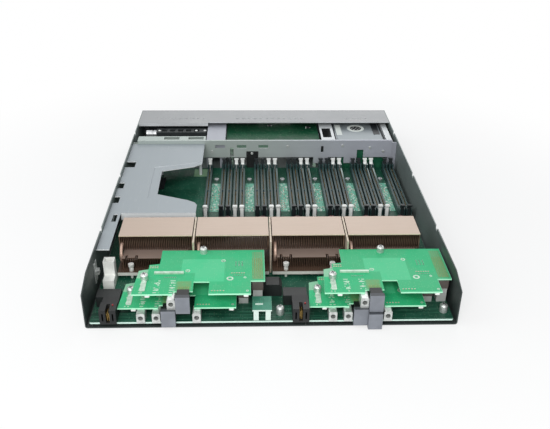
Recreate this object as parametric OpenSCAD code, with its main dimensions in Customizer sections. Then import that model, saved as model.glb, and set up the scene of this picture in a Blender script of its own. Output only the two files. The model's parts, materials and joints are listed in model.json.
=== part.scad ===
// Full-height blade server with its top cover off: a shallow steel tray that holds the system board,
// four heatsinks, memory sockets, two pairs of stacked mezzanine cards and two hot-swap drives.
// The rear edge carries the midplane connectors, the front panel the ejector handle and the drives.
// Places along the tray are measured from its rear edge, places across it from its centre line.

/* [Chassis] */
// Outside width of the tray
chassis_w = 385; // [382:1:400]
// Depth from the rear edge of the tray to the front face of the panel
chassis_d = 486; // [484:1:520]
// Height of the side walls
chassis_h = 50; // [49:1:60]
// Thickness of the sheet steel
sheet_t = 1.2; // [1:0.1:1.5]
// Outside radius of the bend between floor and wall
bend_r = 2.6; // [2:0.2:3.6]
// Length of the slope at the rear end of each side wall
rear_slope_l = 28; // [16:1:40]
// Drop of that slope
rear_slope_h = 9; // [4:1:14]

/* [Boards] */
// Thickness of the system board
board_t = 2; // [1.6:0.1:2.2]
// Space between the tray floor and the system board
board_gap = 3; // [2.5:0.1:3.5]
// Thickness of a mezzanine card
card_t = 1.6; // [1.4:0.1:2]
// Space between the system board and the lower cards
lower_card_lift = 12; // [11.6:0.1:12.6]
// Height of an upper card above the lower card
card_spacing = 17; // [16.6:0.1:17.6]
// Sideways step from an upper card to the lower card beneath it
card_step = 15.2; // [14.8:0.1:15.6]
// Distance of each card pair's middle from the centre line
card_pair_x = 98.5; // [97.5:0.5:99]

/* [Rear connectors] */
// Width of a midplane connector housing
plug_w = 12.4; // [11.5:0.1:12.8]
// Width of a guide socket
guide_w = 8.4; // [8.2:0.1:9.4]
// Radius of the hole that takes a guide pin
guide_hole_r = 2.6; // [2:0.1:2.8]
// Depth of the guide pin hole
guide_hole_l = 11; // [8:0.5:12]
// Width of a power connector
power_w = 17; // [16:0.2:17.2]
// Slot between the two walls of a power connector
power_slot = 3.8; // [3:0.1:4.4]

/* [Heatsinks] */
// Width of one heatsink
sink_w = 82.4; // [80:0.2:83]
// Distance between neighbouring heatsinks
sink_pitch = 86.4; // [85.8:0.2:87]
// Place of the near face of the low fins
sink_y = 87; // [86.6:0.1:88]
// Length of the fins at their foot
sink_l = 60; // [54:1:62]
// Length of the low step in front of the tall fins
step_l = 18; // [16:1:24]
// Thickness of the heatsink's base plate
sink_base_t = 4; // [3:0.2:4.4]
// Height of the low fins
low_fin_h = 12.6; // [11:0.2:13]
// Height of the tall fins above the low ones
tall_fin_h = 17.6; // [15:0.2:18]
// Distance between neighbouring fins
fin_pitch = 2; // [1.8:0.1:3]
// Thickness of a fin
fin_t = 0.6; // [0.4:0.1:0.8]
// Diameter of a heat pipe
pipe_d = 3.6; // [3:0.2:4.6]

/* [Memory] */
// Length of a memory module
dimm_l = 133.4; // [130:0.2:134]
// Distance between neighbouring memory sockets
slot_pitch = 8.9; // [8.6:0.1:9.1]
// Distance between neighbouring banks of four sockets
bank_pitch = 46.7; // [46:0.1:46.9]
// Distance of the middle of the memory sockets from the cross member
dimm_y = 81; // [80.5:0.5:84]
// Width of a memory socket
socket_w = 6.6; // [6.2:0.1:7]
// Height of the contact rail of a socket
rail_h = 9; // [8:0.2:10]
// Height of the latch towers at the ends of a socket
tower_h = 14; // [12:0.5:14.5]
// Width of a latch
latch_w = 4.4; // [4:0.1:4.6]
// Height of a closed latch above the board
latch_h = 20; // [18.5:0.5:21]

/* [Front] */
// Distance from the front face of the panel to the rear face of the cross member
member_y = 120.5; // [119:0.5:121]
// Depth of the cross member's top flange
member_l = 16.5; // [14:0.5:18]
// Depth of the sheet strip over the front end
strip_l = 50; // [40:0.5:60]
// Distance of the drive bay's middle from the right side of the tray
bay_x = 51.5; // [51:0.5:52.5]
// Width of the drive bay
bay_w = 76; // [75.4:0.2:77]
// Width of a hard drive
drive_w = 69.8; // [69:0.2:70.4]
// Length of a hard drive
drive_l = 100.2; // [98:0.2:101]
// Thickness of a hard drive
drive_h = 15; // [12:0.5:15.4]
// Underside of the lower hard drive above the tray's underside
lower_drive_z = 6.4; // [6:0.1:7]
// Distance between the two stacked drives
drive_pitch = 19.6; // [19:0.1:20.5]
// Length of the ejector handle
handle_l = 88; // [80:1:90]
// Height of the ejector handle
handle_h = 20; // [16:1:24]

/* [Hidden] */
$fn = 32;

// Overlap of a cutting tool beyond the face that it opens
over = 0.5;
// Gap between pieces that lie beside each other
fit_gap = 0.3;

// Heights, from the underside of the tray
floor_z = sheet_t;
board_z = floor_z + board_gap;
board_top = board_z + board_t;
lower_card_z = board_top + lower_card_lift;
upper_card_z = lower_card_z + card_spacing;
lid_z = chassis_h - sheet_t;

// Inner face of the side walls
wall_x = chassis_w / 2 - sheet_t;

// Places of the cross member, the memory and the drive bay in the part's own frame
member_rear = chassis_d - member_y;
dimm_mid = member_rear - dimm_y;
bay_mid = chassis_w / 2 - bay_x;

// Colours
steel = "#8f959b";
dark_steel = "#5b6064";
board_green = "#1c5c40";
card_green = "#27a868";
black_plastic = "#17191b";
grey_plastic = "#84878f";
nickel = "#c9ccce";
copper = "#8a6f62";

// ---------------------------------------------------------------- helpers

// Puts a piece whose places count from the rear edge into the part's own frame.
module from_rear() {
  translate([0, -chassis_d / 2, 0]) children();
}

// A block between two corners.
module block(low, high) {
  translate(low) cube(high - low);
}

// Extrudes an outline given as [distance from the rear, height] across the tray, about x = 0.
module across(w) {
  rotate([90, 0, 90]) linear_extrude(height = w, center = true) children();
}

// A cylinder that runs along the tray from its origin.
module along_y(r, l) {
  rotate([-90, 0, 0]) cylinder(r = r, h = l);
}

// A rectangle with rounded corners, between two corners.
module rounded_rect(low, high, r) {
  size = high - low;
  translate(low + [r, 0]) square([size[0] - 2 * r, size[1]]);
  translate(low + [0, r]) square([size[0], size[1] - 2 * r]);
  for (x = [low[0] + r, high[0] - r], y = [low[1] + r, high[1] - r])
    translate([x, y]) circle(r = r);
}

// ---------------------------------------------------------------- chassis

// The first bank's middle, and the bare strip of board behind bank k.
first_pair_x = -84.7;
stud_r = 2.5;
stud_margin = 20;
stud_inset = 25;
function pair_x(k) = first_pair_x + k * bank_pitch;
function strip_x(k) = pair_x(k) + bank_pitch / 2 - slot_pitch;
stud_places = concat(
  [[-150, 60], [-60, 70], [60, 70], [150, 60], [-150, 172], [0, 172], [150, 172],
   [stud_margin - wall_x, member_rear - stud_margin]],
  [for (k = [0 : 5]) [strip_x(k), dimm_mid + dimm_l / 2 - stud_inset]]
);
lid_slot_l = 9;
lid_slot_h = 4;
lid_slot_places = [112, 250, 392];
bead_w = 7;
bead_depth = 0.5;
bead_inset = 24;
bead_margin = 48;
bead_pitch = 65;
guide_slot_y = 176;
guide_slot_pitch = 60;
guide_slot_l = 16;
guide_slot_h = 2.4;
guide_slot_z = 24;

// Section of the tray: floor, two walls and the bends between them.
module tray_section() {
  difference() {
    union() {
      translate([-chassis_w / 2, bend_r]) square([chassis_w, chassis_h - bend_r]);
      translate([-chassis_w / 2 + bend_r, 0]) square([chassis_w - 2 * bend_r, bend_r]);
      for (side = [-1, 1]) translate([side * (chassis_w / 2 - bend_r), bend_r]) circle(r = bend_r);
    }
    translate([-wall_x, bend_r]) square([2 * wall_x, chassis_h]);
    translate([-chassis_w / 2 + bend_r, floor_z]) square([chassis_w - 2 * bend_r, chassis_h]);
    for (side = [-1, 1])
      translate([side * (chassis_w / 2 - bend_r), bend_r]) circle(r = bend_r - sheet_t);
  }
}

module base_tray() {
  color(dark_steel) from_rear() {
    difference() {
      translate([0, chassis_d, 0]) rotate([90, 0, 0]) linear_extrude(height = chassis_d)
        tray_section();
      across(chassis_w + 2 * over) polygon([
        [-over, chassis_h - rear_slope_h], [rear_slope_l, chassis_h],
        [rear_slope_l, chassis_h + over], [-over, chassis_h + over]
      ]);
      for (y = lid_slot_places)
        block([-chassis_w / 2 - over, y, chassis_h - lid_slot_h],
              [chassis_w / 2 + over, y + lid_slot_l, chassis_h + over]);
      for (y = [bead_margin : bead_pitch : chassis_d - bead_margin])
        translate([0, y, -over]) linear_extrude(height = bead_depth + over)
          rounded_rect([bead_inset - wall_x, -bead_w / 2], [wall_x - bead_inset, bead_w / 2],
                       bead_w / 2 - 0.1);
      for (y = [guide_slot_y : guide_slot_pitch : chassis_d - guide_slot_y])
        block([-chassis_w / 2 - over, y, guide_slot_z],
              [-wall_x + over, y + guide_slot_l, guide_slot_z + guide_slot_h]);
    }
    for (p = stud_places) translate([p[0], p[1], floor_z]) cylinder(r = stud_r, h = board_gap);
  }
}

// ---------------------------------------------------------------- boards

board_edge = 3;
board_y0 = 1.5;
board_y1 = member_rear + 1;

tongue = [-33, -5];
tongue_l = 9;

module system_board() {
  color(board_green) from_rear() difference() {
    translate([0, 0, board_z]) linear_extrude(height = board_t) {
      rounded_rect([-wall_x + board_edge, board_y0], [wall_x - board_edge, board_y1], 2);
      translate([tongue[0], board_y1 - 4]) square([tongue[1] - tongue[0], 4 + tongue_l]);
    }
    for (p = stud_places)
      translate([p[0], p[1], board_z - over]) cylinder(r = 1.6, h = board_t + 2 * over);
  }
}

screw_head_r = 3.2;
screw_head_h = 2;

module board_screws() {
  color(nickel) from_rear() for (p = stud_places) translate([p[0], p[1], board_top])
    difference() {
      cylinder(r = screw_head_r, h = screw_head_h);
      translate([0, 0, screw_head_h - 1]) cylinder(r = 1.4, h = 1 + over, $fn = 6);
    }
}

// ---------------------------------------------------------------- mezzanine cards

card_near = 7;
card_left = -45.5;
card_right = 91;
card_waist = 30;
card_foot_r = 76;
bay_left = 16.5;
bay_right = 32.8;
notch_depth = 12;
upper_card_far = 90;
lower_card_far = 76;
card_hole_places = [[9, 49.4], [46.3, 68.5]];
ring_hole_places = [[-20.3, 26], [-20.5, 15]];
card_hole_r = 1.7;
ring_hole_r = 1.2;

// Outline of a card, with steps round the connectors beside it.
module card_outline(far) {
  difference() {
    polygon([
      [card_left, card_near], [-4, card_near], [-4, notch_depth], [bay_left, notch_depth],
      [bay_left, card_waist - 1], [bay_right, card_waist - 1], [bay_right, card_near],
      [card_foot_r, card_near], [card_foot_r, card_waist], [card_right, card_waist],
      [card_right, far], [-22, far], [-22, 63], [-33, 61], [-33, 53], [card_left + 2.5, 50]
    ]);
    for (p = card_hole_places) if (p[1] < far - 4) translate(p) circle(r = card_hole_r);
    for (p = ring_hole_places) translate(p) circle(r = ring_hole_r);
  }
}

// The middle of the upper or lower card of a pair: side is -1 for the left pair, 1 for the right.
function card_x(side, upper) = side * card_pair_x - (upper ? 0 : card_step);

module mezz_card(side, upper) {
  color(card_green) from_rear()
    translate([card_x(side, upper), 0, upper ? upper_card_z : lower_card_z])
      linear_extrude(height = card_t) card_outline(upper ? upper_card_far : lower_card_far);
}

// Board-to-board connectors under the right edge of each card, in two halves that meet.
stack_x = 83.3;
stack_w = 11.6;
stack_y0 = 32;
stack_y1 = 74;
plug_share = 0.42;

function stack_split(upper) =
  board_top + (1 - plug_share) * ((upper ? upper_card_z : lower_card_z) - board_top);

module stack_half(side, upper, w, z0, z1) {
  x = card_x(side, upper) + stack_x;
  block([x - w / 2, stack_y0, z0], [x + w / 2, stack_y1, z1]);
}

module stack_plugs() {
  color("#5a4f4a") from_rear() for (side = [-1, 1], upper = [false, true])
    stack_half(side, upper, stack_w, stack_split(upper), upper ? upper_card_z : lower_card_z);
}

module stack_receptacles() {
  color("#a7a8a5") from_rear() for (side = [-1, 1], upper = [false, true])
    stack_half(side, upper, stack_w - 1.6, board_top, stack_split(upper));
}

// Screws that hold the cards, in places on the card itself.
far_screw = [23.8, 85];
near_screw = [-35, 33];
thumb_r = 4;
thumb_h = 6.5;

module thumbscrew(r, h) {
  cylinder(r = r, h = h - 0.8);
  translate([0, 0, h - 0.8]) cylinder(r1 = r, r2 = r - 0.8, h = 0.8, $fn = 48);
}

strap_t = 0.6;
strap_w = 5.4;
strap_l = 21;
stud_big_r = 4.2;
corner_stud = [wall_x - 10.8, 15];
centre_stud = [8, 14];

module card_thumbscrews() {
  color(nickel) from_rear() {
    for (side = [-1, 1]) {
      translate([card_x(side, true) + far_screw[0], far_screw[1], upper_card_z + card_t])
        thumbscrew(thumb_r, thumb_h);
      for (upper = [false, true])
        translate([card_x(side, upper) + near_screw[0], near_screw[1],
                   (upper ? upper_card_z : lower_card_z) + card_t + strap_t])
          thumbscrew(thumb_r, thumb_h);
    }
    for (p = [corner_stud, centre_stud])
      translate([p[0], p[1], board_top]) thumbscrew(stud_big_r, thumb_h + 2);
  }
}

// Flat straps under the near screws and a stiffening bar on each upper card.
bar_x0 = -26;
bar_x1 = 5;
bar_y = 43;
bar_w = 3;

module card_latch_plates() {
  color("#c8d6cc") from_rear() for (side = [-1, 1]) {
    for (upper = [false, true])
      translate([card_x(side, upper) + near_screw[0], near_screw[1],
                 (upper ? upper_card_z : lower_card_z) + card_t])
        linear_extrude(height = strap_t)
          rounded_rect([-strap_w / 2, -strap_l], [strap_w / 2, strap_w / 2], 1.2);
    x = card_x(side, true);
    z = upper_card_z + card_t;
    block([x + bar_x0, bar_y, z], [x + bar_x1, bar_y + bar_w, z + 2]);
  }
}

post_r = 2.6;
edge_post_x = [-28, 57];
edge_post_y = 27;

module card_standoffs() {
  color("#d9dcd8") from_rear() for (side = [-1, 1]) {
    upper_near = [card_x(side, true) + near_screw[0], near_screw[1]];
    lower_near = [card_x(side, false) + near_screw[0], near_screw[1]];
    translate([upper_near[0], upper_near[1], lower_card_z + card_t])
      cylinder(r = post_r, h = card_spacing - card_t);
    for (p = [upper_near, lower_near, [card_x(side, false) + edge_post_x[0] - 1.5, edge_post_y],
              [card_x(side, false) + edge_post_x[1] + 15, edge_post_y]])
      translate([p[0], p[1], board_top]) cylinder(r = post_r, h = lower_card_lift);
  }
}

// ---------------------------------------------------------------- rear connectors

plug_x = 7;
plug_y0 = -3;
plug_depth = 15;
plug_drop = 14;
plug_rise = 4;
plug_foot_l = 8;
plug_foot_h = 4;
cap_gap = 0.3;
cap_wall = 0.7;
cap_l = 4;
board_plug_x = 6.4;
board_plug_y0 = -7;
board_plug_z0 = 2;
board_plug_h = 17;

// Housing on a card's near edge: a tall block before the edge, with a foot beneath the card.
module card_connector(side, upper) {
  x = card_x(side, upper) + plug_x;
  z = upper ? upper_card_z : lower_card_z;
  y1 = plug_y0 + plug_depth;
  y_edge = board_y0 - fit_gap;
  block([x - plug_w / 2, plug_y0, z - plug_drop], [x + plug_w / 2, y_edge, z + plug_rise]);
  block([x - plug_w / 2, y_edge - over, max(z - plug_drop, board_top)],
        [x + plug_w / 2, y1, z + plug_rise]);
  block([x - plug_w / 2, y1, z - plug_foot_h], [x + plug_w / 2, y1 + plug_foot_l, z]);
}

// Housing on the system board: it hangs over the rear edge of the tray.
module board_connector() {
  x = card_pair_x + board_plug_x;
  block([x - plug_w / 2, board_plug_y0, board_plug_z0],
        [x + plug_w / 2, -fit_gap, board_plug_z0 + board_plug_h]);
  block([x - plug_w / 2, -fit_gap - 0.1, board_top],
        [x + plug_w / 2, plug_foot_l + 4, board_plug_z0 + board_plug_h]);
}

// Tall connector on the board's tongue: it shows through a notch in the cross member.
riser_w = 16.6;
riser_l = 6;
riser_mid_x = -19.4;
riser_slot_w = 2;

module riser_connector() {
  translate([riser_mid_x, member_rear + sheet_t + fit_gap, board_top]) difference() {
    block([-riser_w / 2, 0, 0], [riser_w / 2, riser_l, control_z - fit_gap - board_top]);
    block([-riser_w / 2 + 1.2, 1.4, control_z - board_top - 7],
          [riser_w / 2 - 1.2, 1.4 + riser_slot_w, control_z - board_top]);
    block([-riser_w / 2 + 2, -over, 19], [riser_w / 2 - 2, 0.8, 23]);
  }
}

module io_connectors() {
  color(black_plastic) from_rear() {
    for (side = [-1, 1], upper = [false, true]) card_connector(side, upper);
    board_connector();
    riser_connector();
  }
}

// A shallow cap that fits over the mouth of a housing whose near face is at y0.
module cap(x, y0, z0, z1) {
  w = plug_w / 2 + cap_gap;
  difference() {
    block([x - w - cap_wall, y0 - cap_gap - cap_wall, z0 - cap_gap - cap_wall],
          [x + w + cap_wall, y0 + cap_l, z1 + cap_gap + cap_wall]);
    block([x - w, y0 - cap_gap, z0 - cap_gap], [x + w, y0 + cap_l + over, z1 + cap_gap]);
  }
}

module connector_caps() {
  color(grey_plastic) from_rear() {
    for (side = [-1, 1], upper = [false, true]) {
      z = upper ? upper_card_z : lower_card_z;
      cap(card_x(side, upper) + plug_x, plug_y0, z - plug_drop, z + plug_rise);
    }
    cap(card_pair_x + board_plug_x, board_plug_y0, board_plug_z0, board_plug_z0 + board_plug_h);
  }
}

// Places and heights of the guide sockets of one pair of cards: [x, z of the underside].
guide_y0 = -1;
guide_l = 14;
guide_h = lower_card_lift;
guide_bore_z = 6.4;
guide_rim = 0.5;
function guide_places(side) = [
  [side * card_pair_x - card_step - 21.4, board_top],
  [side * card_pair_x - card_step - 5.6, board_top],
  [side * card_pair_x - 4.9, upper_card_z - guide_h],
  [side * card_pair_x + 20.4, board_top]
];

// A guide socket: the mouth of its bore is countersunk and its top edges are bevelled.
module guide_sockets() {
  color(nickel) from_rear() for (side = [-1, 1], p = guide_places(side))
    translate([p[0], guide_y0, p[1]]) difference() {
      translate([0, guide_l, 0]) rotate([90, 0, 0]) linear_extrude(height = guide_l) polygon([
        [-guide_w / 2, 0], [guide_w / 2, 0], [guide_w / 2, guide_h - 1], [guide_w / 2 - 1, guide_h],
        [-guide_w / 2 + 1, guide_h], [-guide_w / 2, guide_h - 1]
      ]);
      translate([0, -over, guide_bore_z]) along_y(guide_hole_r, guide_hole_l + over);
      block([-guide_w / 2 - over, guide_l - 4, -over], [guide_w / 2 + over, guide_l - 2.8, 1]);
    }
}

power_x = -69.6;
power_y0 = -2;
power_mouth_l = 15;
power_body_l = 14;
power_h = 17;

module power_connectors() {
  color(black_plastic) from_rear() for (side = [-1, 1])
    translate([side * card_pair_x + power_x, power_y0, board_top]) difference() {
      union() {
        block([-power_w / 2, 0, 0], [power_w / 2, power_mouth_l, power_h]);
        block([-power_w / 2, power_mouth_l, 0],
              [power_w / 2, power_mouth_l + power_body_l, power_h - 3]);
      }
      block([-power_slot / 2, -over, 2], [power_slot / 2, power_mouth_l - 3, power_h + over]);
      for (s = [-1, 1])
        translate([s * (power_w + power_slot) / 4, 0, 0])
          block([-0.8, -over, 4], [0.8, power_mouth_l - 4, power_h - 4]);
    }
}

// Bus bar housings behind the power connectors, and the round-topped filter block between them.
bus_w = 25;
bus_l = 15;
bus_h = 12.5;
filter_w = 20;
filter_l = 15;
filter_h = 15;

module power_blocks() {
  color("#232629") from_rear() {
    for (side = [-1, 1])
      translate([side * card_pair_x + power_x - 4.5, power_y0 + power_mouth_l + power_body_l + 1,
                 board_top])
        block([-bus_w / 2, 0, 0], [bus_w / 2, bus_l, bus_h]);
    translate([1, 52 + filter_l / 2, board_top]) rotate([90, 0, 0])
      linear_extrude(height = filter_l) polygon([
        [-filter_w / 2, 0], [filter_w / 2, 0], [filter_w / 2, filter_h - 3],
        [filter_w / 2 - 3, filter_h], [-filter_w / 2 + 3, filter_h],
        [-filter_w / 2, filter_h - 3]
      ]);
  }
}

// Small board on two pairs of posts beside the centre line.
sense_x = -11;
sense_w = 20;
sense_y0 = 1.6;
sense_l = 24;
sense_lift = 12;

module sense_board() {
  color("#3f8f78") from_rear() translate([sense_x, sense_y0, board_top]) {
    block([-sense_w / 2, 0, sense_lift], [sense_w / 2, sense_l, sense_lift + card_t]);
    for (x = [-6.2, 6.2], y = [0.6, sense_l - 5.6])
      block([x - 2.6, y, 0], [x + 2.6, y + 5, sense_lift]);
    block([-7, 9, sense_lift + card_t], [1, 15, sense_lift + card_t + 2]);
  }
}

// White header on the left side of the board, with a low block before it.
header_x = 13.3 - wall_x;
header_y = 72;

module tall_header() {
  color("#e9e9e4") from_rear() translate([header_x, header_y, board_top]) {
    difference() {
      block([-6, 0, 0], [6, 10, 28]);
      block([-4.6, 1.4, 20], [4.6, 8.6, 28 + over]);
    }
    block([-5.6, -12, 0], [6.4, 0, 11]);
  }
}

// Bright spring clip on the inner face of the left wall.
clip_y = 60;
clip_l = 11;
clip_h = 24;
clip_z = 14;

module wall_clip() {
  color(nickel) from_rear() translate([-wall_x, clip_y, clip_z]) {
    difference() {
      block([0, 0, 0], [1, clip_l, clip_h]);
      block([-over, clip_l / 2 - 1.6, -over], [1 + over, clip_l / 2 + 1.6, 8]);
      block([-over, clip_l / 2 - 1.2, clip_h - 7], [1 + over, clip_l / 2 + 1.2, clip_h + over]);
    }
    for (z = [10, 14]) block([1, 2, z], [4.5, clip_l - 2, z + 1]);
  }
}

// ---------------------------------------------------------------- heatsinks

cpu_socket_h = 2.8;
cpu_h = 2.2;
sink_z = board_top + cpu_socket_h + cpu_h;
fin_z = sink_z + sink_base_t;
deck_t = 0.9;
low_deck_z = fin_z + low_fin_h;
top_deck_z = low_deck_z + deck_t + tall_fin_h;
sink_margin = 5;
pipe_r = pipe_d / 2;
sink_ledge = 8;
spring_screw_x = 26;
spring_screw_y = sink_y - 4;

function sink_x(i) = (i - 2.5) * sink_pitch;

// The solid space that one heatsink's fins and decks fill.
module sink_envelope() {
  low_w = sink_w - 2 * sink_margin;
  across(low_w) polygon([
    [sink_y, fin_z], [sink_y + sink_l, fin_z], [sink_y + sink_l, low_deck_z + deck_t],
    [sink_y, low_deck_z + deck_t]
  ]);
  across(sink_w) polygon([
    [sink_y + step_l, low_deck_z], [sink_y + sink_l, low_deck_z],
    [sink_y + sink_l, top_deck_z + deck_t], [sink_y + step_l, top_deck_z + deck_t]
  ]);
}

low_gaps = floor((sink_w - 2 * sink_margin - fin_t) / fin_pitch);
tall_gaps = floor((sink_w - fin_t) / fin_pitch);

// Cuts for the air gaps between fins, count of them, from y0 to the far face.
module fin_gaps(count, y0, z0, z1) {
  for (i = [0 : count - 1])
    translate([(i - (count - 1) / 2) * fin_pitch - (fin_pitch - fin_t) / 2, y0 - over, z0])
      cube([fin_pitch - fin_t, sink_y + sink_l - y0 + 2 * over, z1 - z0]);
}

recess_w = 14;
recess_l = 6.5;
tab_w = 8;

module heatsink(i) {
  color(copper) from_rear() translate([sink_x(i), 0, 0]) difference() {
    union() {
      sink_envelope();
      block([-sink_w / 2, sink_y - sink_ledge, sink_z],
            [sink_w / 2, sink_y + sink_l + sink_ledge, fin_z]);
    }
    fin_gaps(low_gaps, sink_y, fin_z, low_deck_z);
    fin_gaps(tall_gaps, sink_y + step_l, low_deck_z + deck_t, top_deck_z);
    for (x = [-1, 1]) {
      translate([x * spring_screw_x, sink_y, low_deck_z - over])
        difference() {
          block([-recess_w / 2, -over, 0], [recess_w / 2, recess_l, deck_t + 2 * over]);
          block([-tab_w / 2, 1.6, -over], [tab_w / 2, recess_l + over, deck_t + 3 * over]);
        }
      for (y = [spring_screw_y, sink_y + sink_l + 4])
        translate([x * spring_screw_x, y, sink_z - over])
          cylinder(r = 1.7, h = sink_base_t + 2 * over);
    }
  }
}

// A pipe that leaves the base plate, bends up and enters the tall fins, on the left of each sink.
pipe_x = -sink_w / 2 + sink_margin - pipe_r;
pipe_y = sink_y + step_l - 2;
pipe_low_z = fin_z + pipe_r;
pipe_high_z = low_deck_z + 9;

module bent_pipe() {
  bend = (pipe_high_z - pipe_low_z) / 2;
  rotate([0, 0, 180]) rotate([0, 90, 0]) rotate_extrude(angle = 180)
    translate([bend, 0]) circle(r = pipe_r);
  translate([0, 0, -bend]) along_y(pipe_r, sink_y + sink_l - pipe_y);
  translate([0, 0, bend]) along_y(pipe_r, sink_y + step_l - pipe_y);
}

module heat_pipes() {
  color("#a78b80") from_rear() for (i = [1 : 4])
    translate([sink_x(i) + pipe_x, pipe_y, (pipe_low_z + pipe_high_z) / 2]) bent_pipe();
}

spring_r = 2.5;
screw_l = 9;

module heatsink_screws() {
  color("#e4e4e0") from_rear()
    for (i = [1 : 4], x = [-1, 1], y = [spring_screw_y, sink_y + sink_l + 4])
      translate([sink_x(i) + x * spring_screw_x, y, 0]) {
        translate([0, 0, board_top]) cylinder(r = 1.5, h = fin_z - board_top);
        translate([0, 0, fin_z]) cylinder(r = spring_r, h = 2);
        translate([0, 0, fin_z]) cylinder(r = 1.5, h = screw_l);
        difference() {
          translate([0, 0, fin_z + screw_l - 3]) cylinder(r = 3.2, h = 3);
          translate([0, 0, fin_z + screw_l - 1.2]) cylinder(r = 1.5, h = 2, $fn = 6);
        }
      }
}

divider_t = 1.8;

module air_dividers() {
  color("#b9aaa0") from_rear() for (i = [1 : 3])
    translate([sink_x(i) + sink_pitch / 2, 0, 0])
      block([-divider_t / 2, sink_y + 3, board_top],
            [divider_t / 2, sink_y + sink_l, top_deck_z + deck_t]);
}

cpu_socket_w = 50;
cpu_w = 40;
sink_mid_y = sink_y + sink_l / 2;

module cpu_sockets() {
  color("#2b2b2c") from_rear() for (i = [1 : 4])
    translate([sink_x(i) - cpu_socket_w / 2, sink_mid_y - cpu_socket_w / 2, board_top])
      cube([cpu_socket_w, cpu_socket_w, cpu_socket_h]);
}

module processors() {
  color(nickel) from_rear() for (i = [1 : 4])
    translate([sink_x(i) - cpu_w / 2, sink_mid_y - cpu_w / 2, board_top + cpu_socket_h])
      cube([cpu_w, cpu_w, cpu_h]);
}

// ---------------------------------------------------------------- memory

pivot_out = 2.8;
pivot_z = 4;
pivot_y = dimm_l / 2 + pivot_out;
socket_half = pivot_y + 3;
tower_l = 11;
trunnion_r = 0.9;
pivot_gap = 0.08;
groove_w = 1.5;
groove_floor = 2;
cheek_inner = latch_w / 2 + fit_gap;
trunnion_half = socket_w / 2 - 0.15;

// Places of the white and the black sockets of bank k.
function white_x(k) = k == 0
  ? [pair_x(k) + slot_pitch / 2]
  : [pair_x(k) - slot_pitch / 2, pair_x(k) + slot_pitch / 2];
function black_x(k) = [pair_x(k) - slot_pitch * 2.5, pair_x(k) - slot_pitch * 1.5];
white_slots = [for (k = [0 : 5]) each white_x(k)];
black_slots = [for (k = [1 : 6]) each black_x(k)];
all_slots = concat(white_slots, black_slots);

module dimm_socket() {
  inner = socket_half - tower_l;
  difference() {
    union() {
      block([-socket_w / 2, -inner, 0], [socket_w / 2, inner, rail_h]);
      for (side = [-1, 1]) scale([1, side, 1])
        block([-socket_w / 2, inner, 0], [socket_w / 2, socket_half, tower_h]);
    }
    block([-groove_w / 2, -dimm_l / 2 - fit_gap, groove_floor],
          [groove_w / 2, -6, tower_h + over]);
    block([-groove_w / 2, -4.6, groove_floor],
          [groove_w / 2, dimm_l / 2 + fit_gap, tower_h + over]);
    for (side = [-1, 1]) {
      scale([1, side, 1])
        block([-cheek_inner, inner + 2.6, 0.8], [cheek_inner, socket_half + over, tower_h + over]);
      translate([0, side * pivot_y, pivot_z]) rotate([0, 90, 0])
        cylinder(r = trunnion_r + pivot_gap, h = socket_w + 2 * over, center = true);
    }
  }
}

module sockets_at(places) {
  color(black_plastic) from_rear() for (x = places)
    translate([x, dimm_mid, board_top]) dimm_socket();
}

// A latch about its pivot: outline as [outwards, upwards], finger pad at the top, hook inwards.
module latch() {
  top = latch_h - pivot_z;
  across(latch_w) polygon([
    [-1.6, -2.4], [1.4, -2.4], [1.9, 0], [1.5, top - 4], [3, top - 1.6], [3, top], [-0.6, top],
    [-1.4, top - 6], [-3.4, top - 6.6], [-3.4, top - 8.2], [-1.6, top - 9], [-1.7, 0],
    [-3.2, -1.4], [-3.2, -2.4]
  ]);
  across(socket_w - 0.6) polygon([
    [0.9, top - 2], [3.2, top - 2], [3.2, top], [0.9, top]
  ]);
  rotate([0, 90, 0]) cylinder(r = trunnion_r, h = 2 * trunnion_half, center = true);
}

// The latches at one end of the sockets: side is -1 for the rear end, 1 for the front end.
module latches_at(places, side, shade) {
  color(shade) from_rear() for (x = places)
    translate([x, dimm_mid + side * pivot_y, board_top + pivot_z]) scale([1, side, 1]) latch();
}

// ---------------------------------------------------------------- sheet metal over the board

plate_z = 44;
plate_right = -88;
plate_near = 161;
plate_far = member_rear - fit_gap;
plate_left = -wall_x + fit_gap;
leg_w = 14;
leg_near = 80;
flange_h = 8;
border = 11;

// Edge of the wedge-shaped opening in the plate, grown by a margin.
module plate_opening(grow) {
  polygon([
    [plate_right + 1, 300 + grow], [-98.6, 290 + grow], [-140.2 - grow, 276.5 + grow],
    [-139 - grow, 210.4 - grow], [-99.6, 194 - grow], [plate_right - 3, 188 - grow],
    [plate_right + 1, 180 - grow]
  ]);
}

module plate_outline() {
  difference() {
    polygon([
      [plate_left, leg_near], [plate_left + leg_w, leg_near], [plate_left + leg_w, plate_near],
      [plate_right, plate_near], [plate_right, plate_far], [plate_left, plate_far]
    ]);
    plate_opening(0);
    for (n = [[288, 18, 13], [226, 16, 7], [187, 17, 7]])
      translate([plate_left - over, n[0]]) square([n[2] + over, n[1]]);
    translate([plate_left + 6, plate_near - 20]) square([leg_w - 9, 18]);
  }
}

module air_plate() {
  color(steel) from_rear() {
    difference() {
      translate([0, 0, plate_z]) linear_extrude(height = sheet_t) plate_outline();
      translate([0, 0, plate_z + sheet_t - 0.4]) linear_extrude(height = 0.4 + over)
        plate_opening(border);
    }
    difference() {
      block([plate_left + leg_w, plate_near, plate_z - flange_h],
            [plate_right, plate_near + sheet_t, plate_z]);
      for (x = [-158, -129])
        block([x - 9, plate_near - over, plate_z - flange_h - over],
              [x + 9, plate_near + sheet_t + over, plate_z - flange_h + 2]);
    }
    for (p = [[plate_right - 6, plate_near + 8], [plate_right - 6, 345], [-150, 345]])
      translate([p[0], p[1], board_top]) cylinder(r = 2.4, h = plate_z - board_top);
  }
}

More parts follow.
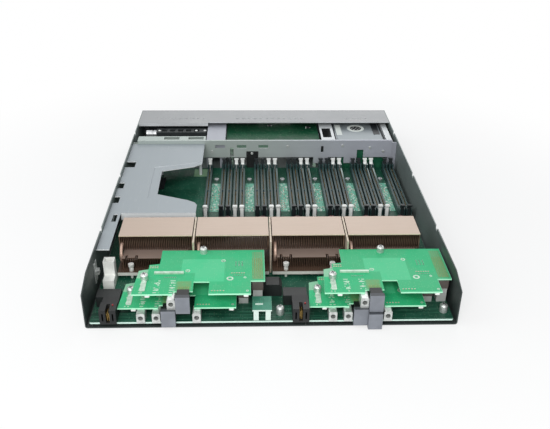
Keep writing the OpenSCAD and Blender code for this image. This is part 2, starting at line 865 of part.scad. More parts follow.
member_half = wall_x - 7;
member_bottom = 23.6;
window_z = 38.2;
window_h = 5;
window_w = 14;
window_places = [-156, -66, -35, -3.5];
member_lip = 3;
flange_end = -87;
leg_half = 3;
tab_bottom = 14;
end_window_w = 22;

// A notch through the sheet, between two places across and two heights.
module member_cut(x0, x1, z0, z1) {
  block([x0, member_rear - over, z0], [x1, member_rear + sheet_t + over, z1]);
}

// Upright sheet with a folded lip along its top, a flange at its left end and a foot at each wall.
module cross_member() {
  rear = member_rear;
  front = rear + sheet_t;
  color("#a3a8aa") from_rear() difference() {
    union() {
      block([-member_half, rear, member_bottom], [member_half, front, chassis_h]);
      block([-member_half, rear, lid_z], [member_half, rear + member_lip, chassis_h]);
      block([-member_half, rear, lid_z], [flange_end, rear + member_l, chassis_h]);
      block([-member_half, rear + member_l - sheet_t, lid_z - 4],
            [flange_end, rear + member_l, chassis_h]);
      for (x = [[70, 91], [114.6, 133.2]])
        block([x[0], rear, tab_bottom], [x[1], front, member_bottom + 1]);
      for (s = [-1, 1]) {
        translate([s * (wall_x - 2 * leg_half), rear + 2, 0])
          block([-2 * leg_half, 0, bend_r], [2 * leg_half, sheet_t, chassis_h - 4]);
        translate([s * (member_half - leg_half), 0, 0])
          block([-leg_half, rear, member_bottom], [leg_half, rear + 2 + sheet_t, chassis_h - 4]);
      }
      for (x = [[-4, 60], [-52, -36]])
        block([x[0], rear, member_bottom], [x[1], rear + 8, member_bottom + sheet_t]);
    }
    for (x = window_places)
      member_cut(x - window_w / 2, x + window_w / 2, window_z, window_z + window_h);
    member_cut(-51.6, -46.8, member_bottom - over, window_z + 0.5);
    member_cut(-28.3, -10.5, member_bottom - over, 33.2);
    member_cut(80.5, 84.4, 31.4, 41.3);
    member_cut(133.5, 143, member_bottom - over, 35.3);
    for (x = [-136, -101])
      block([x - end_window_w / 2, rear + 5, lid_z - over],
            [x + end_window_w / 2, rear + member_l - sheet_t - 1, chassis_h + over]);
  }
}

// How far the strip reaches back further over the left bay.
strip_step = 4.5;

// Row of small slots in the strip: first place, count.
vent_rows = [[-168, 9], [-44, 12], [126, 4]];
vent_pitch = 9;
vent_from_front = 36.5;

module front_top_strip() {
  color("#9a9da0") from_rear() difference() {
    union() {
      block([-wall_x, chassis_d - strip_l, lid_z], [wall_x, chassis_d - sheet_t, chassis_h]);
      block([-wall_x, chassis_d - strip_l - strip_step, lid_z],
            [latch_x0, chassis_d - strip_l + over, chassis_h]);
      block([-wall_x, chassis_d - strip_l - strip_step, lid_z - 3],
            [latch_x0, chassis_d - strip_l - strip_step + sheet_t, chassis_h]);
    }
    for (row = vent_rows, i = [0 : row[1] - 1])
      block([row[0] + i * vent_pitch, chassis_d - vent_from_front, lid_z - over],
            [row[0] + i * vent_pitch + 5, chassis_d - vent_from_front + 2.4, chassis_h + over]);
  }
}

// ---------------------------------------------------------------- front end

drive_y1 = chassis_d - 14;
drive_y0 = drive_y1 - drive_l;
bay_half = bay_w / 2;
cage_t = 1;
cage_top = 44;
carrier_gap = 0.4;
rail_t = 1.8;
carrier_half = drive_w / 2 + rail_t;
function drive_z(level) = lower_drive_z + level * drive_pitch;
backplane_y = member_rear + 2 * sheet_t + 1.6;
cage_y0 = backplane_y + card_t + fit_gap;
bracket_w = 20;
bracket_window = [4, 17];
cage_y1 = chassis_d - sheet_t - 1;
carrier_foot = 1.2;

// Bay for the two stacked drives: two pierced walls with turned-out flanges, the left one wider and
// with a window, and a shelf for each drive.
module drive_cage() {
  color("#b4b8ba") from_rear() translate([bay_mid, 0, 0]) {
    for (s = [-1, 1]) scale([s, 1, 1]) difference() {
      block([bay_half, cage_y0, floor_z], [bay_half + cage_t, cage_y1, cage_top]);
      for (i = [0 : 2]) translate([0, cage_y0 + 22 + i * 28, 14]) rotate([0, 90, 0])
        cylinder(r = 4, h = bay_half + 2 * cage_t);
    }
    block([bay_half, cage_y0, cage_top - cage_t], [bay_half + 8, cage_y1, cage_top]);
    difference() {
      block([-bay_half - bracket_w, cage_y0, cage_top - cage_t],
            [-bay_half, cage_y1, cage_top]);
      block([-bay_half - bracket_window[1], cage_y0 + 20, cage_top - cage_t - over],
            [-bay_half - bracket_window[0], cage_y0 + 56, cage_top + over]);
    }
    for (level = [0, 1])
      translate([0, 0, drive_z(level) - carrier_foot - fit_gap])
        block([-bay_half - over, cage_y0, -cage_t], [bay_half + over, cage_y1, 0]);
  }
}

// Carrier: two side rails and a vented front bezel with a post at each end.
bezel_y0 = drive_y1 + 2;
bezel_l = 17.6;
bezel_h = drive_h + 2;
post_w = 4;
lever_end = 20.6;
lever_pivot_x = -carrier_half + post_w / 2;
lever_pivot_y = bezel_y0 + bezel_l - 3;
lever_r = 1.9;
lever_pin_r = 1.2;
lever_t = 4;
lever_z0 = 0.3;
lever_h = bezel_h - 3;
ear_z0 = 1.5;
ear_z1 = bezel_h - 2 * carrier_foot - ear_z0;

module drive_carrier(level) {
  top = bezel_h - carrier_foot;
  color("#3a3d40") from_rear() translate([bay_mid, 0, drive_z(level)]) difference() {
    union() {
      for (s = [-1, 1]) scale([s, 1, 1]) {
        block([drive_w / 2, drive_y0 + 6, 0], [carrier_half, bezel_y0 + over, drive_h - 2]);
        block([drive_w / 2 - 5, drive_y0 + 6, -carrier_foot],
              [carrier_half, bezel_y0 + over, -0.1]);
        block([carrier_half - rail_t, drive_y0 + 6, -0.2], [carrier_half, bezel_y0, 0.1]);
        block([carrier_half - post_w, bezel_y0, -carrier_foot],
              [carrier_half, bezel_y0 + bezel_l, top]);
      }
      block([-carrier_half, bezel_y0, -carrier_foot], [carrier_half, bezel_y0 + 3, top]);
      block([lever_end + 0.4, bezel_y0, -carrier_foot], [carrier_half, bezel_y0 + bezel_l, top]);
    }
    for (i = [0 : 8])
      block([-28 + i * 6, bezel_y0 - over, 2], [-25 + i * 6, bezel_y0 + 3 + over, bezel_h - 5]);
    block([release_x - release_w / 2 - fit_gap, bezel_y0 + 4, release_z - fit_gap],
          [release_x + release_w / 2 + fit_gap, bezel_y0 + bezel_l + over,
           release_z + release_h + fit_gap]);
    block([-carrier_half - over, lever_pivot_y - lever_r - fit_gap, ear_z0],
          [-carrier_half + post_w + over, bezel_y0 + bezel_l + over, ear_z1]);
    translate([lever_pivot_x, lever_pivot_y, -carrier_foot - over])
      cylinder(r = lever_pin_r + pivot_gap, h = bezel_h + 2 * over);
  }
}

// Lever across the front of a carrier: it turns out about an upright pin at its left end.
module drive_lever(level) {
  y0 = -lever_t / 2;
  arm_x = post_w / 2 + 2.4;
  arm_l = lever_end - lever_pivot_x;
  color("#9a9da1") from_rear()
    translate([bay_mid + lever_pivot_x, lever_pivot_y, drive_z(level)]) difference() {
      union() {
        translate([0, 0, -carrier_foot + 0.2]) cylinder(r = lever_pin_r, h = bezel_h - 0.4);
        translate([0, 0, ear_z0 + fit_gap])
          cylinder(r = lever_r, h = ear_z1 - ear_z0 - 2 * fit_gap);
        block([0, y0, ear_z0 + fit_gap], [arm_x + 1, y0 + lever_t, ear_z1 - fit_gap]);
        translate([0, 0, lever_z0]) linear_extrude(height = lever_h)
          rounded_rect([arm_x, y0], [arm_l, y0 + lever_t], 1);
      }
      block([arm_x + 8, -0.2, 4], [arm_l - 8, y0 + lever_t + over, lever_h - 3.4]);
    }
}

release_x = 28.6;
release_w = 8;
release_h = 8;
release_z = 3.4;

module drive_release(level) {
  color("#6a7580") from_rear() translate([bay_mid + release_x, bezel_y0, drive_z(level) + release_z])
    block([-release_w / 2, 6.5, 0], [release_w / 2, bezel_l + 0.6, release_h]);
}

// A 2.5 inch drive: stepped cover, spindle ring and screws.
spindle_from_front = 36;

module hard_drive(level) {
  z1 = drive_h;
  color("#b5b8bb") from_rear() translate([bay_mid, drive_y0, drive_z(level)]) difference() {
    union() {
      block([-drive_w / 2, 0, 0], [drive_w / 2, drive_l, z1 - 1]);
      translate([0, 0, z1 - 1 - over]) linear_extrude(height = 1 + over)
        rounded_rect([-drive_w / 2 + 2, 5], [drive_w / 2 - 2, drive_l - 2], 6);
    }
    translate([0, drive_l - spindle_from_front, z1 - 0.5]) difference() {
      cylinder(r = 13, h = 1);
      translate([0, 0, -over]) cylinder(r = 9, h = 2);
    }
    for (x = [-28, 28], y = [14, drive_l - 10])
      translate([x, y, z1 - 1]) cylinder(r = 1.6, h = 2);
  }
}

module drive_backplane() {
  color(board_green) from_rear() {
    block([bay_mid - bay_half + 2, backplane_y, floor_z + 0.2],
          [bay_mid + bay_half - 2, backplane_y + card_t, cage_top - 3]);
    for (level = [0, 1])
      block([bay_mid - 18.5, backplane_y + card_t, drive_z(level) + 0.6],
            [bay_mid + 18.5, drive_y0 - fit_gap, drive_z(level) + 4.4]);
  }
}

// Panel across the front, with the drive bay, the handle pocket, vents and holes for controls.
pocket_x0 = -180.4;
pocket_x1 = pocket_x0 + handle_l + 4;
pocket_z0 = (chassis_h - handle_h) / 2 - 2;
pocket_z1 = (chassis_h + handle_h) / 2 + 2;
power_x0 = 84;
power_z0 = 34;
power_r = 4;
release_btn_x = pocket_x1 + 9;
usb_x = 58;
usb_w = 13.2;
usb_h = 5.8;
usb_z = [9, 18, 27];
vent_hex_r = 2.4;
vent_hex_pitch = 5.6;
vent_cols = 16;
vent_row_count = 6;
vent_x0 = -44;
panel_y0 = chassis_d - sheet_t;

module front_panel() {
  color("#55595d") from_rear() difference() {
    union() {
      block([-wall_x, panel_y0, bend_r], [wall_x, chassis_d, chassis_h]);
      block([-chassis_w / 2 + bend_r, panel_y0, floor_z],
            [chassis_w / 2 - bend_r, chassis_d, bend_r + over]);
      block([-chassis_w / 2 + bend_r, chassis_d - 8, floor_z],
            [bay_mid - bay_half - 10, chassis_d, floor_z + sheet_t]);
    }
    block([bay_mid - carrier_half - carrier_gap, panel_y0 - over, lower_drive_z - 1.2 - carrier_gap],
          [bay_mid + carrier_half + carrier_gap, chassis_d + over,
           drive_z(1) + bezel_h - 1.2 + carrier_gap]);
    block([pocket_x0, panel_y0 - over, pocket_z0], [pocket_x1, chassis_d + over, pocket_z1]);
    for (z = usb_z)
      block([usb_x - usb_w / 2 - fit_gap, panel_y0 - over, z - fit_gap],
            [usb_x + usb_w / 2 + fit_gap, chassis_d + over, z + usb_h + fit_gap]);
    translate([power_x0, panel_y0 - over, power_z0])
      along_y(power_r + fit_gap, sheet_t + 2 * over);
    translate([power_x0, panel_y0 - over, 14]) along_y(1.6 + fit_gap, sheet_t + 2 * over);
    block([release_btn_x - 6 - fit_gap, panel_y0 - over, 20 - fit_gap],
          [release_btn_x + 6 + fit_gap, chassis_d + over, 30 + fit_gap]);
    for (i = [0 : vent_cols - 1], j = [0 : vent_row_count - 1])
      translate([vent_x0 + i * vent_hex_pitch, panel_y0 - over,
                 9 + j * vent_hex_pitch * 1.1 + (i % 2) * vent_hex_pitch * 0.55])
        rotate([-90, 0, 0]) cylinder(r = vent_hex_r, h = sheet_t + 2 * over, $fn = 6);
  }
}

// Moulded pocket behind the handle, screwed to the panel.
pocket_l = 16;
pocket_t = 1.6;
link_y0 = member_rear + 48;
link_l = 15;
link_z0 = 32;
link_h = 11;
link_x0 = pocket_x0 + 17;
spring_l = 15;

module handle_pocket() {
  color("#26292c") from_rear() {
    difference() {
      block([pocket_x0 - pocket_t, panel_y0 - pocket_l, pocket_z0 - pocket_t],
            [pocket_x1 + pocket_t, panel_y0, pocket_z1 + pocket_t]);
      block([pocket_x0, panel_y0 - pocket_l + pocket_t, pocket_z0],
            [pocket_x1, panel_y0 + over, pocket_z1]);
      translate([pin_x, pin_y, pocket_z0 - pocket_t - over])
        cylinder(r = pin_r + pin_gap, h = pocket_z1 - pocket_z0 + 2 * (pocket_t + over));
    }
    difference() {
      block([link_x0, link_y0, link_z0], [pocket_x1, link_y0 + link_l, link_z0 + link_h]);
      for (x = [link_x0 + 8 : 12 : pocket_x1 - 12])
        block([x, link_y0 + 3, link_z0 + link_h - 3],
              [x + 8, link_y0 + link_l - 3, link_z0 + link_h + over]);
    }
    for (x = [link_x0 + 2, pocket_x1 - 8])
      block([x, link_y0 + link_l - over, link_z0], [x + 5, panel_y0 - pocket_l + over, link_z0 + 5]);
  }
}

// Ejector handle: a long lever with a finger opening, a hub at its left end and a claw.
pin_x = pocket_x0 + 9;
pin_y = panel_y0 - 8;
pin_r = 3;
pin_gap = 0.04;
hub_r = 5.4;
handle_z0 = (chassis_h - handle_h) / 2;
grip_t = 7;
handle_front = chassis_d + 12;

module ejector_handle() {
  grip = handle_front - pin_y;
  end = pocket_x0 + handle_l - pin_x;
  color("#44474b") from_rear() translate([pin_x, pin_y, handle_z0]) difference() {
    union() {
      cylinder(r = hub_r, h = handle_h);
      linear_extrude(height = handle_h) polygon([
        [-hub_r + 1, 0], [hub_r, 0], [9, 10], [15, grip - grip_t], [end - 12, grip - grip_t],
        [end - 7, grip - grip_t - 3], [end - 7, sheet_t + 8.6], [end, sheet_t + 8.6],
        [end, grip - 3], [end - 3, grip], [9, grip], [3, 13], [-hub_r + 1, 5]
      ]);
      block([end - 6, -2, 6], [end - 2, sheet_t + 10, handle_h - 6]);
      block([end - 9, -2, 6], [end - 2, 1, handle_h - 6]);
    }
    translate([0, 0, -over]) cylinder(r = pin_r + pivot_gap, h = handle_h + 2 * over);
  }
}

module handle_pin() {
  color(nickel) from_rear() translate([pin_x, pin_y, pocket_z0 - pocket_t]) {
    cylinder(r = pin_r, h = pocket_z1 - pocket_z0 + 2 * pocket_t + 1);
    translate([0, 0, pocket_z1 - pocket_z0 + 2 * pocket_t]) cylinder(r = 4.6, h = 3);
  }
  color(nickel) from_rear() translate([link_x0 - fit_gap, link_y0 + link_l / 2, link_z0 + 6])
    rotate([0, -90, 0]) difference() {
      cylinder(r = 5, h = spring_l);
      translate([0, 0, 4]) difference() {
        cylinder(r = 6, h = 2);
        translate([0, 0, -over]) cylinder(r = 4.2, h = 2 + 2 * over);
      }
    }
}

button_back = 8;

module handle_release() {
  color("#6a7580") from_rear()
    block([release_btn_x - 6, chassis_d - button_back, 20],
          [release_btn_x + 6, chassis_d + 2.6, 30]);
}

module power_button() {
  color("#4d5257") from_rear() translate([power_x0, chassis_d - button_back, power_z0])
    along_y(power_r, button_back + 1.6);
}

module status_light() {
  color("#bcd9ee") from_rear() translate([power_x0, chassis_d - 20, 14]) {
    along_y(1.6, 20.4);
    block([-3, 0, -3], [3, 6, 3]);
  }
}

module usb_ports() {
  color(nickel) from_rear() for (z = usb_z)
    translate([usb_x, chassis_d - 14, z]) difference() {
      block([-usb_w / 2, 0, 0], [usb_w / 2, 14.4, usb_h]);
      difference() {
        block([-usb_w / 2 + 0.4, 2, 0.4], [usb_w / 2 - 0.4, 14.4 + over, usb_h - 0.4]);
        block([-usb_w / 2 + 1, 1.5, usb_h - 2.6], [usb_w / 2 - 1, 13, usb_h - 0.9]);
      }
    }
}

// Housing of the handle latch, beside the pocket.
latch_x0 = pocket_x1 + pocket_t + fit_gap;
latch_x1 = -59;

latch_y0 = member_rear + 5;
latch_y1 = panel_y0 - 10;
latch_top = 44;

// Folded sheet: a top with a bead and a window, two side walls with openings, and an end wall.
module latch_housing() {
  color("#9b9ea4") from_rear() difference() {
    block([latch_x0, latch_y0, floor_z], [latch_x1, latch_y1, latch_top]);
    block([latch_x0 + sheet_t, latch_y0 + sheet_t, floor_z - over],
          [latch_x1 - sheet_t, latch_y1 + over, latch_top - sheet_t]);
    for (y = [latch_y0 + 14 : 26 : latch_y1 - 24])
      block([latch_x0 - over, y, floor_z - over], [latch_x1 + over, y + 14, 20]);
    block([latch_x0 + 8, latch_y0 - over, floor_z - over], [latch_x1 - 8, latch_y0 + 2, 26]);
    translate([(latch_x0 + latch_x1) / 2, latch_y0, latch_top - 0.4])
      linear_extrude(height = 1) rounded_rect([-8, 60], [8, 88], 3);
  }
}

// Raised board between the latch housing and the drive bay, on four posts.
control_z = 35;
control_x0 = -58;
control_x1 = 81.4;

control_y0 = member_rear + member_lip + 1;
control_y1 = panel_y0 - 16;
corner_cut = 5;

module control_board() {
  color("#174a33") from_rear() {
    translate([0, 0, control_z]) linear_extrude(height = card_t) polygon([
      [control_x0, control_y0 + corner_cut], [control_x0 + corner_cut, control_y0],
      [control_x1 - corner_cut, control_y0], [control_x1, control_y0 + corner_cut],
      [control_x1, control_y1], [control_x0, control_y1]
    ]);
    for (x = [control_x0 + 8, control_x1 - 8], y = [control_y0 + 13, control_y1 - 5])
      translate([x, y, floor_z]) cylinder(r = 2.6, h = control_z - floor_z);
  }
}

// ---------------------------------------------------------------- parts on the system board

choke_y = dimm_mid - socket_half - 15;
choke_pitch = 14.6;

module board_chokes() {
  color("#4a2a2c") from_rear() for (i = [0 : 23])
    translate([(i - 11.5) * choke_pitch, choke_y, board_top])
      if (i % 3 == 2) cylinder(r = 4, h = 12);
      else difference() {
        block([-5, -5, 0], [5, 5, 9]);
        for (x = [-1, 1], y = [-1, 1]) translate([x * 5, y * 5, 2]) rotate([0, 0, 45])
          cube([1.6, 1.6, 20], center = true);
      }
}

// Chips under the air plate: distance from the left wall, distance from the cross member, side.
chips = [[22, 150, 24], [34, 52, 30], [26, 96, 20]];
cell_place = [22, 122];

module board_chips() {
  color("#2e3134") from_rear() translate([-wall_x, member_rear, board_top]) {
    for (c = chips) translate([c[0], -c[1], 0]) difference() {
      block([-c[2] / 2, -c[2] / 2, 0], [c[2] / 2, c[2] / 2, 1 + c[2] / 15]);
      translate([-c[2] / 2 + 2, c[2] / 2 - 2, 0.7 + c[2] / 15]) cylinder(r = 0.8, h = 1);
    }
    translate([cell_place[0], -cell_place[1], 0]) difference() {
      cylinder(r = 11.5, h = 4);
      translate([0, 0, 0.8]) cylinder(r = 10.2, h = 4);
      block([-3, -12, 2], [3, -8, 5]);
    }
    translate([cell_place[0], -cell_place[1], 0.8]) cylinder(r = 10, h = 3.2);
  }
}

// ---------------------------------------------------------------- nodes

base_tray();
front_panel();
front_top_strip();
cross_member();
air_plate();
drive_cage();
latch_housing();
handle_pocket();
system_board();
control_board();
drive_backplane();
mezz_card(-1, true);  // mezz_card_upper_left
mezz_card(-1, false);  // mezz_card_lower_left
mezz_card(1, true);  // mezz_card_upper_right
mezz_card(1, false);  // mezz_card_lower_right
stack_plugs();
stack_receptacles();
io_connectors();
connector_caps();
guide_sockets();
power_connectors();
power_blocks();
card_thumbscrews();
card_latch_plates();
card_standoffs();
sense_board();
heatsink(1);  // heatsink_1
heatsink(2);  // heatsink_2
heatsink(3);  // heatsink_3
heatsink(4);  // heatsink_4
heat_pipes();
heatsink_screws();
air_dividers();
cpu_sockets();
processors();
/* dimm_sockets_left */ sockets_at([for (x = all_slots) if (x < pair_x(3) - 2.6 * slot_pitch) x]);
/* dimm_sockets_right */ sockets_at([for (x = all_slots) if (x >= pair_x(3) - 2.6 * slot_pitch) x]);
latches_at(white_slots, -1, "#f2f3f1");  // white_latches_rear
latches_at(white_slots, 1, "#f2f3f1");  // white_latches_front
latches_at(black_slots, -1, "#1e2022");  // black_latches_rear
latches_at(black_slots, 1, "#1e2022");  // black_latches_front
ejector_handle();
handle_pin();
handle_release();
power_button();
usb_ports();
status_light();
drive_carrier(1);  // drive_carrier_upper
drive_carrier(0);  // drive_carrier_lower
drive_lever(1);  // drive_lever_upper
drive_lever(0);  // drive_lever_lower
drive_release(1);  // drive_release_upper
drive_release(0);  // drive_release_lower
hard_drive(1);  // hard_drive_upper
hard_drive(0);  // hard_drive_lower
board_chokes();
board_chips();
tall_header();
wall_clip();
board_screws();
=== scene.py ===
"""Looks of a full-height blade server: finishes, small board parts, springs, studio and camera."""

from __future__ import annotations

import json
import logging
import math
import random
from dataclasses import dataclass, field
from enum import Enum
from typing import Callable, Iterable, Sequence

import bpy
from mathutils import Matrix, Vector

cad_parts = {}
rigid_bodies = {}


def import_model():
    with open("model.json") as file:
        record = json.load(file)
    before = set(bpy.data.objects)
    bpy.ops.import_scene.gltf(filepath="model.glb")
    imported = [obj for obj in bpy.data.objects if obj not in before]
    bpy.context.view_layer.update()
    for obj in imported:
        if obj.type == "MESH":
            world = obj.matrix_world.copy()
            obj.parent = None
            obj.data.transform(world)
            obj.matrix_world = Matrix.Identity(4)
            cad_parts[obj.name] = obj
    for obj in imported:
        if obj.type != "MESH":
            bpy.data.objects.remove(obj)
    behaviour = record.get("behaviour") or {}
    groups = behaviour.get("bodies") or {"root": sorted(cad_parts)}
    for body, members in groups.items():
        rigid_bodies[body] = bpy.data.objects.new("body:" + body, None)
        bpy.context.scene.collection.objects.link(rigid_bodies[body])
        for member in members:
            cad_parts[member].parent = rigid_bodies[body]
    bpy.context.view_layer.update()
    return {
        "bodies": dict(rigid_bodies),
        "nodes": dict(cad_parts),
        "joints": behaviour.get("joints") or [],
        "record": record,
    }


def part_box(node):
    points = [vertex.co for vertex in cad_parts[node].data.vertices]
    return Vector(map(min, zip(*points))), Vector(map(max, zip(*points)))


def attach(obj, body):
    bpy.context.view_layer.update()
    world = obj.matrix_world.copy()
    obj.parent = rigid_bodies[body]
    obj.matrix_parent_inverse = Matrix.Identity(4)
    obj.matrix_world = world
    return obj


log = logging.getLogger("blade_server")

MM = 0.001
Colour = tuple[float, float, float]


def srgb(red: int, green: int, blue: int) -> Colour:
    """Turns a display colour of 0 to 255 into the linear colour that a shader takes.

    Args:
        red, green, blue: The display values.

    Returns:
        The linear colour.
    """
    def linear(value: int) -> float:
        """One channel's linear value."""
        share = value / 255
        return share / 12.92 if share <= 0.04045 else ((share + 0.055) / 1.055) ** 2.4
    return linear(red), linear(green), linear(blue)


# ------------------------------------------------------------------ shader graph


def operator(operation: str) -> Callable[["Wire", "Wire | float"], "Wire"]:
    """A method of a wire that joins it with another value in a Math node."""
    def method(wire: "Wire", other: "Wire | float") -> "Wire":
        """Adds the node."""
        return wire.graph.math(operation, wire, other)
    return method


class Wire:
    """A socket or a number inside a material, with arithmetic that adds Math nodes."""

    __add__ = __radd__ = operator("ADD")
    __mul__ = __rmul__ = operator("MULTIPLY")
    __sub__ = operator("SUBTRACT")
    __truediv__ = operator("DIVIDE")
    __gt__ = operator("GREATER_THAN")
    __lt__ = operator("LESS_THAN")
    __and__ = operator("MINIMUM")
    __or__ = operator("MAXIMUM")

    def __init__(self, graph: "Graph", value: bpy.types.NodeSocket | float) -> None:
        """Wraps a socket or a number of a graph."""
        self.graph = graph
        self.value = value

    def __rsub__(self, other: float) -> "Wire":
        """A number less this value."""
        return self.graph.math("SUBTRACT", other, self)

    def absolute(self) -> "Wire":
        """Size without sign."""
        return self.graph.math("ABSOLUTE", self)

    def floor(self) -> "Wire":
        """Whole number below."""
        return self.graph.math("FLOOR", self)

    def fraction(self) -> "Wire":
        """Part after the point."""
        return self.graph.math("FRACT", self)

    def between(self, low: float, high: float) -> "Wire":
        """1 where this value lies between two numbers, else 0."""
        return (self > low) & (self < high)

    def smooth(self, low: float, high: float) -> "Wire":
        """Rises from 0 at low to 1 at high."""
        return self.graph.node("ShaderNodeMapRange", {"interpolation_type": "SMOOTHSTEP"},
                               {"Value": self, "From Min": low, "From Max": high})["Result"]


class Outputs:
    """The outputs of one shader node, wrapped by name."""

    def __init__(self, graph: "Graph", node: bpy.types.Node) -> None:
        """Keeps the node whose outputs are asked for."""
        self.graph = graph
        self.raw = node

    def __getitem__(self, name: str | int) -> Wire:
        """One output as a wire."""
        return Wire(self.graph, self.raw.outputs[name])


class Graph:
    """Builds the nodes of one material."""

    def __init__(self, name: str) -> None:
        """Starts a material with an empty tree.

        Args:
            name: The material's name.
        """
        self.material = bpy.data.materials.new(name)
        self.material.use_nodes = True
        self.tree = self.material.node_tree
        self.tree.nodes.clear()
        self.place = self.node("ShaderNodeTexCoord", {}, {})["Object"]
        split = self.node("ShaderNodeSeparateXYZ", {}, {"Vector": self.place})
        self.x, self.y, self.z = split["X"], split["Y"], split["Z"]

    def node(self, kind: str, settings: dict[str, object], inputs: dict[str | int, object]) -> Outputs:
        """Adds a node.

        Args:
            kind: The node's type.
            settings: Its own settings, set first.
            inputs: Values or wires for its sockets.

        Returns:
            Its outputs.
        """
        made = self.tree.nodes.new(kind)
        for key, value in settings.items():
            setattr(made, key, value)
        for key, value in inputs.items():
            raw = value.value if isinstance(value, Wire) else value
            socket = made.inputs[key]
            if isinstance(raw, bpy.types.NodeSocket):
                self.tree.links.new(raw, socket)
            else:
                if socket.type == "RGBA" and len(raw) == 3:
                    raw = (*raw, 1)
                socket.default_value = raw
        return Outputs(self, made)

    def math(self, operation: str, *values: Wire | float) -> Wire:
        """Adds a Math node on up to three values."""
        return self.node("ShaderNodeMath", {"operation": operation}, dict(enumerate(values)))["Value"]

    def mix(self, mask: Wire | float, low: Wire | Colour, high: Wire | Colour) -> Wire:
        """Colour that goes from low, where the mask is 0, to high, where it is 1."""
        return self.node("ShaderNodeMix", {"data_type": "RGBA"}, {0: mask, 6: low, 7: high})[2]

    def scaled(self, factors: Colour) -> Wire:
        """The place on the object, stretched along each axis."""
        return self.node("ShaderNodeVectorMath", {"operation": "MULTIPLY"},
                         {0: self.place, 1: factors})["Vector"]

    def noise(self, scale: float, detail: float = 3, stretch: Colour = (1, 1, 1)) -> Wire:
        """Soft noise from 0 to 1.

        Args:
            scale: Blotches per metre.
            detail: Octaves.
            stretch: Factors that lengthen the blotches along an axis where small.
        """
        where = self.place if stretch == (1, 1, 1) else self.scaled(stretch)
        return self.node("ShaderNodeTexNoise", {}, {"Vector": where, "Scale": scale,
                                                    "Detail": detail})["Fac"]

    def dice(self, vector: Wire) -> Wire:
        """A random number for each whole-number place."""
        return self.node("ShaderNodeTexWhiteNoise", {}, {"Vector": vector})["Value"]

    def vector(self, x: Wire | float, y: Wire | float, z: Wire | float) -> Wire:
        """Three values as a vector."""
        return self.node("ShaderNodeCombineXYZ", {}, {"X": x, "Y": y, "Z": z})["Vector"]

    def facing(self, axis: str) -> Wire:
        """How far the face looks along an axis: 1 along it, 0 across it, -1 against it."""
        normal = self.node("ShaderNodeNewGeometry", {}, {})["Normal"]
        return self.node("ShaderNodeSeparateXYZ", {}, {"Vector": normal})[axis]

    def spots(self, scale: float, radius: float, share: float) -> Wire:
        """Mask of scattered round spots.

        Args:
            scale: Spots per metre.
            radius: Radius of a spot as a share of its cell.
            share: Share of the cells that have a spot.
        """
        cell = self.node("ShaderNodeTexVoronoi", {}, {"Vector": self.place, "Scale": scale,
                                                      "Randomness": 1.0})
        chosen = self.node("ShaderNodeSeparateColor", {}, {"Color": cell["Color"]})["Red"] < share
        return (cell["Distance"] < radius) * chosen

    def box_mask(self, x: tuple[float, float], y: tuple[float, float], soft: float = 0.0004) -> Wire:
        """Soft mask of a rectangle seen from above."""
        across = self.x.smooth(x[0] - soft, x[0] + soft) * (1 - self.x.smooth(x[1] - soft, x[1] + soft))
        along = self.y.smooth(y[0] - soft, y[0] + soft) * (1 - self.y.smooth(y[1] - soft, y[1] + soft))
        return across * along

    def finish(self, colour: Wire | Colour, roughness: Wire | float, metallic: Wire | float = 0.0,
               height: Wire | None = None, depth: float = 0.0001,
               fixed: dict[str, object] | None = None) -> bpy.types.Material:
        """Closes the material with a Principled shader.

        Args:
            colour: Base colour.
            roughness: Roughness.
            metallic: Metallic share.
            height: Height from 0 to 1 for the bump, if any.
            depth: Height of the bump in metres.
            fixed: Plain values for other sockets.

        Returns:
            The material.
        """
        inputs: dict[str | int, object] = {"Base Color": colour, "Roughness": roughness,
                                           "Metallic": metallic, **(fixed or {})}
        if height is not None:
            inputs["Normal"] = self.node("ShaderNodeBump", {}, {"Height": height, "Distance": depth,
                                                                "Strength": 1.0})["Normal"]
        shader = self.node("ShaderNodeBsdfPrincipled", {}, inputs)
        self.node("ShaderNodeOutputMaterial", {}, {"Surface": shader["BSDF"]})
        return self.material


# ------------------------------------------------------------------ finishes


def toned(colour: Colour, factor: float, lift: float = 0.0) -> Colour:
    """A colour made darker or lighter, held below 1."""
    return tuple(min(channel * factor + lift, 1.0) for channel in colour)


class Grain(Enum):
    """Direction in which sheet metal was rolled."""

    ACROSS = (8.0, 300.0, 300.0)
    ALONG = (300.0, 8.0, 300.0)
    NONE = (60.0, 60.0, 60.0)


@dataclass(frozen=True)
class SheetSteel:
    """Rolled sheet with fine grain, faint blotches and hairline scratches, a painted highlight on faces that
    look towards -Y and painted shade at the near end.
    """

    colour: Colour
    grain: Grain = Grain.ACROSS
    roughness: float = 0.42
    metallic: float = 0.3
    contrast: float = 0.10
    front_highlight: Colour | None = None
    right: Colour | None = None
    near: Colour | None = None
    right_x: tuple[float, float] = (-0.05, 0.16)
    near_y: tuple[float, float] = (-0.20, -0.10)

    def make(self, name: str) -> bpy.types.Material:
        """Builds the material."""
        g = Graph(name)
        lines = g.noise(1, 4, self.grain.value)
        blotch = g.noise(22, 4)
        specks = g.noise(900, 2)
        scratch = g.noise(1, 2, tuple(v * 4 for v in self.grain.value)).smooth(0.66, 0.74)
        tone = (lines - 0.5) * self.contrast + (blotch - 0.5) * self.contrast * 1.6 + 0.5
        colour = g.mix(tone, toned(self.colour, 0.72), toned(self.colour, 1.28))
        if self.right is not None:
            colour = g.mix(g.x.smooth(*self.right_x) * 0.9, colour, self.right)
        # painted shade: the sheet is darkened towards the near end, at low y
        if self.near is not None:
            colour = g.mix((1 - g.y.smooth(*self.near_y)) * 0.9, colour, self.near)
        # painted highlight: faces that look towards -Y, such as folded edges and flanges, are made lighter
        if self.front_highlight is not None:
            colour = g.mix((g.facing("Y") < -0.6) * 0.95, colour, self.front_highlight)
        colour = g.mix(scratch * 0.12, colour, (0.9, 0.92, 0.92))
        rough = (blotch - 0.5) * 0.22 + (lines - 0.5) * 0.12 + self.roughness
        return g.finish(colour, rough, self.metallic, lines * 0.6 + specks * 0.4, 0.00003)


